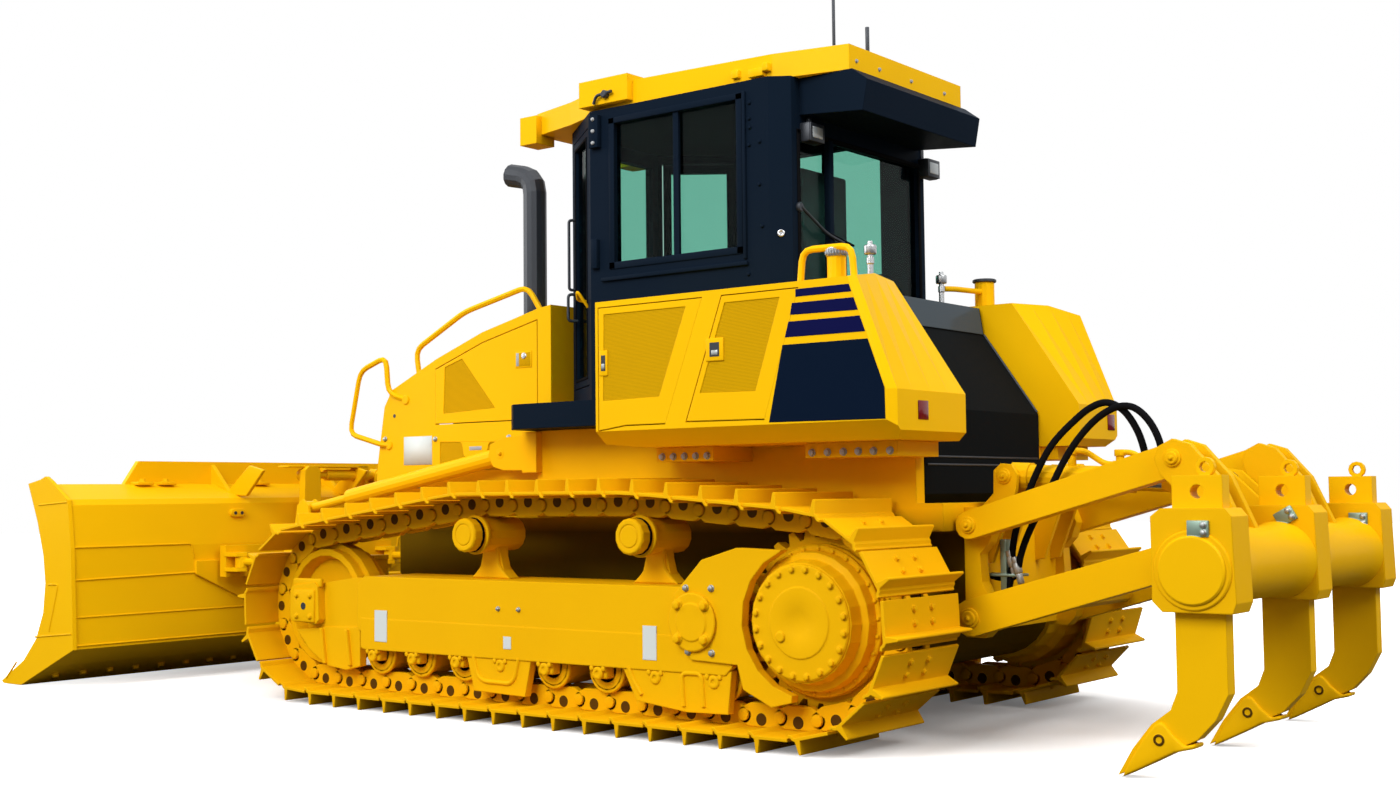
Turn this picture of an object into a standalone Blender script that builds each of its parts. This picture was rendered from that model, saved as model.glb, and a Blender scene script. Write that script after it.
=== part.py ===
"""A crawler dozer with an angle and tilt blade in front and a three shank ripper behind.

Metres, +Z up. The machine faces -Y, its left side is +X and the ground is z = 0. Every Y below is
measured from the sprockets' axle, and the empty called machine carries all of it to its place.
"""

import math

import bmesh
import bpy
from mathutils import Matrix, Vector

GAP = 0.0003  # between pieces that are seated on each other
SPROCKET_Y = 1.80  # puts the origin under the middle of the machine

# Crawler tracks
PITCH = 0.1905
SHOES = 46
TRACK_X = 0.95
SHOE_HALF = 0.30
GROUSER = 0.057
SHOE_IN = 0.050  # from the pitch line out to the shoe
SHOE_OUT = 0.064
RAIL_IN = 0.055  # from the pitch line in to the face that the rollers run on
GROUND_PITCH_Z = GROUSER + SHOE_OUT
SPROCKET_R = PITCH / (2 * math.sin(math.pi / 13.5))
SPROCKET_Z = GROUND_PITCH_Z + SPROCKET_R
IDLER_Y = -3.15
IDLER_R = 0.3735
IDLER_Z = GROUND_PITCH_Z + IDLER_R
IDLER_RIM = math.sqrt(IDLER_R ** 2 - (PITCH / 2) ** 2) - RAIL_IN - 0.001
CARRIER_R = 0.085
CARRIERS = (-1.967, -0.911)
CARRIER_Z = 0.883
ROLLER_R = 0.094
ROLLER_Z = GROUND_PITCH_Z + RAIL_IN + ROLLER_R + GAP
ROLLERS = (-2.68, -2.383, -2.07, -1.762, -1.474, -1.14, -0.801, -0.474)
FRAME_IN = 0.77
FRAME_OUT = 1.13

# Main frame, hood and cab
HULL_X = 0.38
DECK_X = 0.62
DECK_Z = 1.4047
LEDGE_Z = 1.0
HOOD_X = 0.50
HOOD_BACK = -2.005
WALL = 0.03
SHEET_IN = 0.004  # how far a punched sheet lies behind the skin
CAB_FLOOR = 1.52
CAB_TOP = 3.0
ROOF_TOP = 3.12
FENDER_OUT = 1.15
FENDER_IN = 0.56
FENDER_TOP = 1.955
FENDER_LOW = 1.285
TANK_X = 0.5497
TANK_BACK = 0.255
FENDER_RIGHT = 1.02  # the right fender is the narrower one
REAR_Y = 0.38

# Blade and its frame
FRAME_PIN = (-2.15, 0.47)
ARM_X = (0.52, 0.62)
BALL_Y = -4.45
BALL_Z = 0.47
LIFT_X = 0.59
LIFT_PIN = (-2.218, 1.293)
LIFT_EYE = (-3.85, 1.01)
ANGLE_BASE = (0.56, -3.35, 0.69)
ANGLE_EYE = (0.59, -4.48, 0.69)
TILT_Y = -4.636
TILT_Z = 1.22
TILT_BASE_X = -0.60
BLADE_X = 1.62

# Ripper
LINK_LOW = (0.45, 0.53)
LINK_HIGH = (0.45, 0.925)
LINK_REACH = (0.93, 0.267)
LINK_X = (0.4403, 0.5357)
RIP_X = 0.25
RIP_BASE = (0.525, 1.134)
RIP_EYE = (1.28, 1.10)
SHANKS = (0.92, 0.0, -0.92)
SHANK_HALF = 0.035
BEAM_C = (1.615, 0.78)

YELLOW = (0.87, 0.55, 0.02)
DARK = (0.02, 0.025, 0.04)
BLACK = (0.015, 0.015, 0.016)
STEEL = (0.55, 0.55, 0.56)
GLASS = (0.30, 0.45, 0.42)

for old in list(bpy.data.objects):
    bpy.data.objects.remove(old, do_unlink=True)

scene = bpy.context.scene
parts = bpy.data.collections.new("crawler_dozer")
cutters = bpy.data.collections.new("cutters")
cutters.hide_render = True
scene.collection.children.link(parts)
scene.collection.children.link(cutters)

machine = bpy.data.objects.new("machine", None)
machine.location = (0, SPROCKET_Y, 0)
parts.objects.link(machine)


def from_mesh(name, mesh):
    """A helper solid from a mesh, kept out of the render until it becomes a node."""
    obj = bpy.data.objects.new(name, mesh)
    obj.parent = machine
    obj.hide_render = True
    obj.display_type = "WIRE"
    cutters.objects.link(obj)
    return obj


def finish(name, bm):
    bmesh.ops.remove_doubles(bm, verts=bm.verts, dist=1e-6)
    bmesh.ops.recalc_face_normals(bm, faces=bm.faces)
    mesh = bpy.data.meshes.new(name)
    bm.to_mesh(mesh)
    bm.free()
    return from_mesh(name, mesh)


def box(name, x, y, z):
    """A box between two limits along each axis."""
    bm = bmesh.new()
    bmesh.ops.create_cube(bm, size=1)
    size = (x[1] - x[0], y[1] - y[0], z[1] - z[0])
    middle = ((x[0] + x[1]) / 2, (y[0] + y[1]) / 2, (z[0] + z[1]) / 2)
    bmesh.ops.scale(bm, vec=size, verts=bm.verts)
    bmesh.ops.translate(bm, vec=middle, verts=bm.verts)
    return finish(name, bm)


def rod(name, start, end, radius, sides=16, radius_end=None):
    """A round bar between two points."""
    start, end = Vector(start), Vector(end)
    bm = bmesh.new()
    bmesh.ops.create_cone(
        bm, cap_ends=True, segments=sides, radius1=radius,
        radius2=radius if radius_end is None else radius_end, depth=(end - start).length,
    )
    turn = (end - start).to_track_quat("Z", "Y").to_matrix().to_4x4()
    bmesh.ops.transform(bm, matrix=Matrix.Translation((start + end) / 2) @ turn, verts=bm.verts)
    return finish(name, bm)


PLANES = {
    "x": Matrix(((0, 0, 1, 0), (1, 0, 0, 0), (0, 1, 0, 0), (0, 0, 0, 1))),
    "y": Matrix(((1, 0, 0, 0), (0, 0, -1, 0), (0, 1, 0, 0), (0, 0, 0, 1))),
    "z": Matrix.Identity(4),
}


def slab(name, axis, outline, low, high, holes=()):
    """A flat outline, with its holes, given thickness along an axis.

    Across x the outline is (y, z), across y it is (x, z) and across z it is (x, y).
    """
    curve = bpy.data.curves.new(name, "CURVE")
    curve.dimensions = "2D"
    curve.fill_mode = "BOTH"
    curve.extrude = (high - low) / 2
    for ring in (outline, *holes):
        spline = curve.splines.new("POLY")
        spline.points.add(len(ring) - 1)
        for point, (u, v) in zip(spline.points, ring):
            point.co = (u, v, 0, 1)
        spline.use_cyclic_u = True
    drawn = bpy.data.objects.new(name, curve)
    mesh = bpy.data.meshes.new_from_object(drawn)
    bpy.data.objects.remove(drawn)
    bm = bmesh.new()
    bm.from_mesh(mesh)
    offset = -(low + high) / 2 if axis == "y" else (low + high) / 2
    bmesh.ops.translate(bm, vec=(0, 0, offset), verts=bm.verts)
    bmesh.ops.transform(bm, matrix=PLANES[axis], verts=bm.verts)
    return finish(name, bm)


def turned(name, profile, start, end, steps=16):
    """A profile of (radius, distance along) turned about the line from start to end."""
    mesh = bpy.data.meshes.new(name)
    bm = bmesh.new()
    points = [bm.verts.new((radius, 0, along)) for radius, along in profile]
    for a, b in zip(points, points[1:]):
        bm.edges.new((a, b))
    bm.to_mesh(mesh)
    bm.free()
    drawn = bpy.data.objects.new(name, mesh)
    scene.collection.objects.link(drawn)
    screw = drawn.modifiers.new("turn", "SCREW")
    screw.axis = "Z"
    screw.steps = screw.render_steps = steps
    screw.use_merge_vertices = True
    screw.merge_threshold = 1e-5
    bpy.context.view_layer.update()
    graph = bpy.context.evaluated_depsgraph_get()
    made = bpy.data.meshes.new_from_object(drawn.evaluated_get(graph))
    bpy.data.objects.remove(drawn)
    bm = bmesh.new()
    bm.from_mesh(made)
    start, end = Vector(start), Vector(end)
    turn = (end - start).to_track_quat("Z", "Y").to_matrix().to_4x4()
    bmesh.ops.transform(bm, matrix=Matrix.Translation(start) @ turn, verts=bm.verts)
    return finish(name, bm)


def tube(name, points, radius, bend=0.06, sides=2):
    """A round bar along straight runs, with its corners rounded to the given bend."""
    path = [Vector(points[0])]
    for before, corner, after in zip(points, points[1:], points[2:]):
        before, corner, after = Vector(before), Vector(corner), Vector(after)
        into, out = (corner - before).normalized(), (after - corner).normalized()
        reach = min(bend, (corner - before).length / 2.2, (after - corner).length / 2.2)
        first, last = corner - into * reach, corner + out * reach
        for step in range(4):
            t = step / 3
            path.append(first * (1 - t) ** 2 + corner * 2 * t * (1 - t) + last * t * t)
    path.append(Vector(points[-1]))
    curve = bpy.data.curves.new(name, "CURVE")
    curve.dimensions = "3D"
    curve.bevel_depth = radius
    curve.bevel_resolution = sides
    curve.use_fill_caps = True
    spline = curve.splines.new("POLY")
    spline.points.add(len(path) - 1)
    for point, co in zip(spline.points, path):
        point.co = (*co, 1)
    drawn = bpy.data.objects.new(name, curve)
    mesh = bpy.data.meshes.new_from_object(drawn)
    bpy.data.objects.remove(drawn)
    bm = bmesh.new()
    bm.from_mesh(mesh)
    return finish(name, bm)


def combine(obj, operation, others):
    for other in others:
        step = obj.modifiers.new(f"{operation.lower()}_{len(obj.modifiers)}", "BOOLEAN")
        step.operation = operation
        step.solver = "EXACT"
        step.object = other
    return obj


def join(obj, *others):
    return combine(obj, "UNION", others)


def cut(obj, *others):
    return combine(obj, "DIFFERENCE", others)


MATERIALS = {}


def material(key, colour, roughness, metallic, alpha=1.0):
    if key not in MATERIALS:
        made = bpy.data.materials.new(key)
        made.use_nodes = True
        shader = made.node_tree.nodes["Principled BSDF"]
        shader.inputs["Base Color"].default_value = (*colour, 1)
        shader.inputs["Roughness"].default_value = roughness
        shader.inputs["Metallic"].default_value = metallic
        shader.inputs["Alpha"].default_value = alpha
        MATERIALS[key] = made
    return MATERIALS[key]


FINISHES = {
    "paint": (YELLOW, 0.35, 0.0),
    "dark": (DARK, 0.4, 0.0),
    "black": (BLACK, 0.5, 0.0),
    "track": ((0.75, 0.46, 0.03), 0.5, 0.2),
    "steel": (STEEL, 0.25, 0.9),
    "glass": (GLASS, 0.05, 0.0),
    "seat": ((0.03, 0.03, 0.035), 0.7, 0.0),
    "engine": ((0.35, 0.36, 0.37), 0.5, 0.4),
}


def node(obj, finish_name, pivot=None):
    """Make a helper solid one of the machine's pieces, with its origin on its joint's axis."""
    cutters.objects.unlink(obj)
    parts.objects.link(obj)
    obj.hide_render = False
    obj.display_type = "TEXTURED"
    colour, roughness, metallic = FINISHES[finish_name]
    own = material(f"{obj.name}_{finish_name}", colour, roughness, metallic)
    obj.data.materials.append(own)
    if pivot is not None:
        obj.data.transform(Matrix.Translation(-Vector(pivot)))
        obj.location = pivot
    return obj


def mirrored(outline):
    """A half outline given from front to back at +x, closed by its mirror image."""
    return list(outline) + [(-x, y) for x, y in reversed(outline)]


def arc(centre, radius, first, last, steps):
    """Points on a circle between two angles in degrees, both ends included."""
    turns = [math.radians(first + (last - first) * step / steps) for step in range(steps + 1)]
    return [(centre[0] + radius * math.cos(t), centre[1] + radius * math.sin(t)) for t in turns]


def span(side, low, high):
    """Limits along x on one side of the machine."""
    return (low, high) if side > 0 else (-high, -low)


SIDES = (("left", 1), ("right", -1))


# Tracks
def track_path():
    """Dense points (y, z) round the chain's pitch line: forward along the ground first."""
    sprocket, idler = (0.0, SPROCKET_Z), (IDLER_Y, IDLER_Z)
    top = CARRIER_Z + CARRIER_R + RAIL_IN + 0.0025
    path = arc(sprocket, SPROCKET_R, -90, -90, 1)[:1]
    path += arc(idler, IDLER_R, -90, -256, 40)
    path += [(CARRIERS[0], top), (CARRIERS[1], top)]
    path += arc(sprocket, SPROCKET_R, 84, -90, 44)
    return path


def along(path, distances):
    """Points at the given distances along a closed path."""
    runs = [math.dist(a, b) for a, b in zip(path, path[1:])]
    found = []
    for distance in distances:
        left = distance % sum(runs)
        for (a, b), run in zip(zip(path, path[1:]), runs):
            if left <= run:
                t = left / run
                found.append((a[0] + (b[0] - a[0]) * t, a[1] + (b[1] - a[1]) * t))
                break
            left -= run
    return found


def track_links(phase):
    path = track_path()
    total = sum(math.dist(a, b) for a, b in zip(path, path[1:]))
    step = total / SHOES
    return along(path, [(number + phase) * step for number in range(SHOES)])


def link_frames(pins):
    """For each link its first pin, its direction and the direction out of the loop."""
    frames = []
    for a, b in zip(pins, pins[1:] + pins[:1]):
        run = math.dist(a, b)
        ahead = ((b[0] - a[0]) / run, (b[1] - a[1]) / run)
        frames.append((a, ahead, (-ahead[1], ahead[0]), run))
    return frames


def ring(pins, offset):
    """The loop's pins moved out or in along the corner's bisector."""
    frames = link_frames(pins)
    moved = []
    for (_, _, before, _), (pin, _, after, _) in zip(frames[-1:] + frames[:-1], frames):
        y, z = before[0] + after[0], before[1] + after[1]
        reach = 2 * offset / (y * y + z * z)
        moved.append((pin[0] + y * reach, pin[1] + z * reach))
    return moved


SHOE_OUTLINE = ((0.055, SHOE_OUT), (0.79, SHOE_OUT), (0.835, SHOE_OUT + GROUSER),
                (0.885, SHOE_OUT + GROUSER), (0.93, SHOE_OUT))


# Across the chain under the shoes: from the middle out, and out from the pitch line
UNDERSIDE = ((-SHOE_HALF, SHOE_IN), (-0.09, SHOE_IN), (-0.09, -RAIL_IN), (-0.05, -RAIL_IN),
             (-0.05, SHOE_IN), (0.05, SHOE_IN), (0.05, -RAIL_IN), (0.09, -RAIL_IN),
             (0.09, SHOE_IN), (SHOE_HALF, SHOE_IN))


def track(name, side, phase):
    """One closed chain: its shoes and grousers outside and its two rails inside."""
    pins = track_links(phase)
    middle = side * TRACK_X
    bm = bmesh.new()
    ends = {x: [] for x in (-SHOE_HALF, SHOE_HALF)}
    for pin, ahead, out, run in link_frames(pins):
        for x, points in ends.items():
            points.append([bm.verts.new((middle + x,
                                         pin[0] + ahead[0] * run * share + out[0] * height,
                                         pin[1] + ahead[1] * run * share + out[1] * height))
                           for share, height in SHOE_OUTLINE])
    rings = {offset: ring(pins, offset) for offset in (SHOE_IN, -RAIL_IN)}
    under = [[bm.verts.new((middle + x, *rings[offset][number])) for x, offset in UNDERSIDE]
             for number in range(SHOES)]
    near, far = ends.values()
    for number in range(SHOES):
        after = (number + 1) % SHOES
        outer = [near[number] + near[after][:1], far[number] + far[after][:1]]
        for a, b, c, d in zip(outer[0], outer[0][1:], outer[1][1:], outer[1]):
            bm.faces.new((a, b, c, d))
        here, there = under[number], under[after]
        for a, b, c, d in zip(here, here[1:], there[1:], there):
            bm.faces.new((a, b, c, d))
        bm.faces.new((here[0], *outer[0], there[0]))
        bm.faces.new((here[-1], *outer[1], there[-1]))
    node(finish(name, bm), "track")


for label, side, phase in (("left", 1, 0.985), ("right", -1, 0.79)):
    track(f"track_{label}", side, phase)


def across(side, low, high, y, z):
    """The two ends of a bar across the machine."""
    return (side * low, y, z), (side * high, y, z)


HOUSING_R = 0.31  # clears the final drive's drum
GUIDES = {
    "middle": [(-1.993, 0.31), (-1.938, 0.131), (-1.60, 0.122), (-1.557, 0.31)],
    "rear": [(-0.998, 0.31), (-0.911, 0.152), (-0.626, 0.121), (-0.400, 0.126), (-0.378, 0.31)],
}


def track_frame(name, side):
    """The side beam with its roller guards, rollers and carrier rollers."""
    beam_low, skirt_low = 0.385, 0.292
    x = span(side, FRAME_IN, FRAME_OUT - 0.002)
    outline = [(-2.795, 0.40), (-2.78, beam_low), (-0.62, beam_low), (-0.50, 0.42), (-0.40, 0.42),
               (-0.40, 0.60), (-0.46, 0.665), (-2.74, 0.665), (-2.795, 0.62)]
    frame = slab(name, "x", outline, *x)
    skirt = [(-2.765, 0.30), (-2.74, skirt_low), (-0.41, skirt_low), (-0.37, 0.33), (-0.43, 0.45),
             (-2.765, 0.45)]
    pieces = [
        slab(f"{name}_guard_out", "x", skirt, *span(side, FRAME_OUT - 0.03, FRAME_OUT)),
        slab(f"{name}_guard_in", "x", skirt, *span(side, FRAME_IN + 0.002, FRAME_IN + 0.03)),
    ]
    for number, y in enumerate(ROLLERS):
        ends = across(side, FRAME_IN + 0.014, FRAME_OUT - 0.014, y, ROLLER_Z + 0.02)
        pieces.append(rod(f"{name}_shaft_{number}", *ends, 0.035, 6))
        ends = across(side, 0.835, 1.065, y, ROLLER_Z)
        pieces.append(rod(f"{name}_roller_{number}", *ends, ROLLER_R, 12))
    for number, y in enumerate(CARRIERS):
        ends = across(side, 0.82, 1.165, y, CARRIER_Z)
        pieces.append(rod(f"{name}_carrier_{number}", *ends, CARRIER_R - 0.002, 14))
        pieces.append(slab(
            f"{name}_post_{number}", "x",
            [(y - 0.10, 0.65), (y + 0.10, 0.65), (y + 0.043, 0.85), (y - 0.043, 0.85)],
            *span(side, 0.925, 0.975)))
    housing = ([(-0.10, 0.832), (-0.333, 0.839), (-0.523, 0.785), (-0.681, 0.629), (-0.683, 0.433),
                (-0.584, 0.351), (-0.335, 0.342), (-0.305, 0.240), (-0.16, 0.175), (-0.058, 0.200)]
               + arc((0, SPROCKET_Z), HOUSING_R, 260, 110, 8))
    idler_guard = [(-2.79, 0.40), (-2.79, 0.20), (-2.90, 0.175), (-3.05, 0.19), (-3.20, 0.27),
                   (-3.30, 0.37), (-3.06, 0.39)]
    hub = [(-3.31, 0.435), (-3.285, 0.415), (-3.10, 0.408), (-3.075, 0.43), (-3.085, 0.60),
           (-3.11, 0.625), (-3.29, 0.605), (-3.31, 0.58)]
    for piece, outline, low, high in (
            ("drive_housing", housing, FRAME_OUT - 0.035, FRAME_OUT + 0.012),
            ("idler_guard", idler_guard, 1.070, 1.112),
            ("idler_hub", hub, 1.095, 1.150),
            ("guide_middle", GUIDES["middle"], FRAME_OUT - 0.045, FRAME_OUT - 0.005),
            ("guide_rear", GUIDES["rear"], FRAME_OUT - 0.045, FRAME_OUT - 0.005)):
        pieces.append(slab(f"{name}_{piece}", "x", outline, *span(side, low, high)))
    for label, low, high in (("out", 1.060, 1.105), ("in", 0.795, 0.840)):
        pieces.append(slab(
            f"{name}_fork_{label}", "x",
            [(-2.70, 0.40), (-2.84, 0.37), (-3.06, 0.38), (-3.30, 0.42), (-3.34, 0.50),
             (-3.28, 0.59), (-3.10, 0.62), (-2.84, 0.655), (-2.70, 0.655)], *span(side, low, high)))
    pivot = across(side, FRAME_OUT - 0.01, FRAME_OUT + 0.02, -0.571, 0.515)
    pieces.append(rod(f"{name}_pivot_cover", *pivot, 0.125, 20))
    node(join(frame, *pieces), "paint")


def idler(name, side):
    rim, flange = IDLER_RIM, IDLER_RIM + 0.028
    profile = [(0, -0.1097), (0.085, -0.1097), (0.085, -0.03), (0.25, -0.03), (0.27, -0.095),
               (rim, -0.095), (rim, -0.042), (flange, -0.038), (flange, 0.038), (rim, 0.042),
               (rim, 0.095), (0.27, 0.095), (0.25, 0.03), (0.085, 0.03), (0.085, 0.1097),
               (0, 0.1097)]
    middle = side * TRACK_X
    wheel = turned(name, profile, (middle, IDLER_Y, IDLER_Z), (middle + 1, IDLER_Y, IDLER_Z), 22)
    node(wheel, "paint")


def final_drive(name, side):
    """The drive's drum, its bolted cover and the toothed sprocket ring."""
    profile = [(0, 0.6003), (0.29, 0.6003), (0.30, 0.70), (0.325, 0.74), (0.325, 0.90),
               (0.325, 1.00), (0.30, 1.02), (0.29, 1.08), (0.262, 1.09), (0.25, 1.15), (0, 1.15)]
    if side > 0:
        line = (0, 0, SPROCKET_Z), (1, 0, SPROCKET_Z)
    else:
        line = (0, 0, SPROCKET_Z), (-1, 0, SPROCKET_Z)
    drum = turned(name, profile, *line, 22)
    phase = 0.985 if side > 0 else 0.79
    outline = []
    teeth = 27
    for tooth in range(teeth):
        middle = math.degrees(2 * math.pi * (tooth + 0.25) / teeth)
        middle += -90 - phase * 360 / 13.5
        for turn, radius in ((-5.0, 0.350), (-1.9, 0.398), (1.9, 0.398), (5.0, 0.350)):
            t = math.radians(middle + turn)
            outline.append((radius * math.cos(t), SPROCKET_Z + radius * math.sin(t)))
    teeth_ring = slab(f"{name}_teeth", "x", outline, *span(side, TRACK_X - 0.03, TRACK_X + 0.03))
    node(join(drum, teeth_ring), "paint")


for label, side in SIDES:
    track_frame(f"track_frame_{label}", side)
    idler(f"idler_{label}", side)
    final_drive(f"final_drive_{label}", side)


# Main frame
def main_frame():
    hull = slab("main_frame", "x",
                [(-3.30, 0.64), (-3.02, 0.42), (0.08, 0.40), (REAR_Y, 0.50), (REAR_Y, LEDGE_Z),
                 (-3.30, LEDGE_Z)], -HULL_X, HULL_X)
    pieces = [
        box("ledge_front", (-HULL_X, HULL_X), (-3.38, -3.0), (0.950, LEDGE_Z)),
        box("ledge", (-HOOD_X, HOOD_X), (-3.05, -1.95), (0.955, LEDGE_Z)),
        box("deck", (-DECK_X, DECK_X), (-1.99, -0.41), (0.96, DECK_Z)),
        box("cab_seat", (-0.48, 0.48), (-1.96, -0.43), (1.30, CAB_FLOOR - GAP)),
        box("rear_deck", (-DECK_X, DECK_X), (-0.50, REAR_Y), (0.90, 1.02)),
        rod("axle", (-0.60, 0, SPROCKET_Z), (0.60, 0, SPROCKET_Z), 0.27, 24),
        rod("pivot_shaft", (-FRAME_IN + GAP, -0.571, 0.515), (FRAME_IN - GAP, -0.571, 0.515),
            0.075, 16),
        box("equalizer", (-FRAME_IN + GAP, FRAME_IN - GAP), (-1.83, -1.67), (0.43, 0.57)),
    ]
    for label, side in SIDES:
        pieces += [
            box(f"rear_plate_{label}", span(side, 0.55, DECK_X), (-0.45, TANK_BACK - 0.005), (0.95, 1.2847)),
            rod(f"trunnion_{label}", *across(side, 0.36, ARM_X[0] - GAP, *FRAME_PIN), 0.06, 16),
            box(f"lift_web_{label}", span(side, 0.505, 0.662), (-2.06, -1.96), (1.19, 1.40)),
            box(f"fender_foot_front_{label}", span(side, 0.58, 0.92), (-0.95, -0.62),
                (1.22, FENDER_LOW - GAP)),
            box(f"fender_foot_rear_{label}", span(side, 0.58, 0.92), (-0.12, 0.34),
                (1.22, FENDER_LOW - GAP)),
        ]
        ear = [(-1.97, 1.39), (-2.20, 1.375), (-2.29, 1.34), (-2.305, 1.28), (-2.27, 1.225),
               (-2.20, 1.205), (-1.97, 1.20)]
        for piece, low, high in (("inner", 0.505, 0.536), ("outer", 0.644, 0.662)):
            pieces.append(slab(f"lift_ear_{piece}_{label}", "x", ear, *span(side, low, high)))
    node(join(hull, *pieces), "paint")


main_frame()
ENGINE_TOP = 1.70
node(box("engine", (-0.30, 0.30), (-2.95, -2.10), (LEDGE_Z + GAP, ENGINE_TOP)), "engine")

# Hood
HOOD_LINE = [(-3.380, 1.0003), (-3.355, 1.27), (-3.300, 1.585), (-3.240, 1.677), (-2.872, 1.835),
             (-2.512, 1.960), (-2.104, 2.056), (HOOD_BACK, 2.071), (HOOD_BACK, 1.0003)]
HOOD_HOLLOW = [(-3.340, 0.90), (-3.320, 1.27), (-3.265, 1.570), (-3.215, 1.650), (-2.862, 1.803),
               (-2.504, 1.928), (-2.098, 2.024), (-2.035, 2.034), (-2.035, 0.90)]
HOOD_DOOR = [(-2.880, 1.475), (-2.105, 1.475), (-2.105, 1.995), (-2.512, 1.900), (-2.880, 1.775)]


def grown(outline, by, seat=None):
    """An outline moved out by a clearance; the side named by seat gets only the seated gap."""
    points = [Vector(point) for point in outline]
    area = sum(a.x * b.y - b.x * a.y for a, b in zip(points, points[1:] + points[:1]))
    sign = 1 if area > 0 else -1
    sides = []
    for number, (a, b) in enumerate(zip(points, points[1:] + points[:1])):
        run = (b - a).normalized()
        out = Vector((run.y, -run.x)) * sign
        sides.append((a + out * (GAP if number == seat else by), run))
    moved = []
    for (p, u), (q, v) in zip(sides[-1:] + sides[:-1], sides):
        t = ((q.x - p.x) * v.y - (q.y - p.y) * v.x) / (u.x * v.y - u.y * v.x)
        moved.append(tuple(p + u * t))
    return moved


HOOD_SHEET = [(-2.815, 1.529), (-2.415, 1.545), (-2.668, 1.825), (-2.804, 1.785)]
LOWER_SHEET = [(-2.843, 1.215), (-2.341, 1.210), (-2.341, 1.360), (-2.843, 1.373)]
DOOR_GAP = 0.005
PANEL_DEPTH = 0.010
EXHAUST = (0.20, -2.40)


def hood():
    shell = slab("hood", "x", HOOD_LINE, -HOOD_X, HOOD_X)
    cut(shell,
        slab("hood_hollow", "x", HOOD_HOLLOW, -HOOD_X + WALL, HOOD_X - WALL),
        slab("hood_door_cut", "x", grown(HOOD_DOOR, DOOR_GAP, 4), -0.6, 0.6),
        box("grille_cut", (-0.42, 0.42), (-3.5, -3.2), (1.08, 1.55)),
        rod("exhaust_cut", (*EXHAUST, 1.8), (*EXHAUST, 2.3), 0.067, 20),
        *(slab(f"lower_sheet_{label}", "x", LOWER_SHEET, *span(side, HOOD_X - SHEET_IN, 0.6))
          for label, side in SIDES))
    rails = []
    for label, side in SIDES:
        inboard, plane = 0.49, 0.516
        rails.append(tube(f"front_rail_{label}", [
            (side * inboard, -3.12, 1.618), (side * plane, -3.25, 1.66), (side * plane, -3.27, 1.87),
            (side * plane, -3.49, 1.80), (side * plane, -3.58, 1.44), (side * plane, -3.30, 1.37),
            (side * inboard, -3.26, 1.367)], 0.0155, 0.06, 1))
        rails.append(tube(f"hood_rail_{label}", [
            (side * 0.47, -3.04, 1.74), (side * 0.47, -3.07, 1.90), (side * 0.47, -2.68, 2.085),
            (side * 0.47, -2.20, 2.185), (side * 0.47, -2.10, 2.045)], 0.0155, 0.06, 1))
    node(join(shell, *rails), "paint")


hood()

for label, side in SIDES:
    door = slab(f"hood_door_{label}", "x", HOOD_DOOR, *span(side, HOOD_X - WALL, HOOD_X))
    cut(door, slab(f"hood_sheet_{label}", "x", HOOD_SHEET, *span(side, HOOD_X - SHEET_IN, 0.6)))
    node(door, "paint", (side * HOOD_X, -2.880, 1.475))

grille = slab("front_grille", "x",
              [(-3.366, 1.0803), (-3.341, 1.0803), (-3.300, 1.30), (-3.262, 1.5497),
               (-3.287, 1.5497), (-3.325, 1.30)], -0.4197, 0.4197)
cut(grille, *(box(f"grille_slot_{row}", (-0.37, 0.37), (-3.5, -3.2), (z, z + 0.032))
              for row, z in enumerate(1.115 + 0.06 * row for row in range(7))))
node(grille, "paint")

exhaust = tube("exhaust", [(*EXHAUST, ENGINE_TOP + GAP), (*EXHAUST, 2.83), (0.20, -2.58, 2.87)],
               0.065, 0.14, 5)
node(exhaust, "black")

# Cab
CAB_PLAN = mirrored([(0.34, -1.99), (0.66, -1.58), (0.66, -0.48), (0.60, -0.39)])
CAB_INSIDE = mirrored([(0.318, -1.94), (0.61, -1.562), (0.61, -0.50), (0.575, -0.44)])
STEP_PLAN = [(0.515, -2.06), (0.78, -2.02), (0.86, -1.93), (0.86, -1.145), (0.515, -1.145)]
DOOR_FOOT = Vector((0.66, -1.58, 0))
DOOR_RUN = (Vector((0.34, -1.99, 0)) - DOOR_FOOT).normalized()
DOOR_OUT = Vector((-DOOR_RUN.y, DOOR_RUN.x, 0))
DOOR_S = (0.055, 0.470)
DOOR_Z = (1.62, 2.93)


def door_block(name, side, s, z, depth):
    """A block in the plane of a cab door: along the panel, in height and outward."""
    corners = []
    for run, out in ((s[0], depth[0]), (s[1], depth[0]), (s[1], depth[1]), (s[0], depth[1])):
        point = DOOR_FOOT + DOOR_RUN * run + DOOR_OUT * out
        corners.append((side * point.x, point.y))
    return slab(name, "z", corners, *z)


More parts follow.
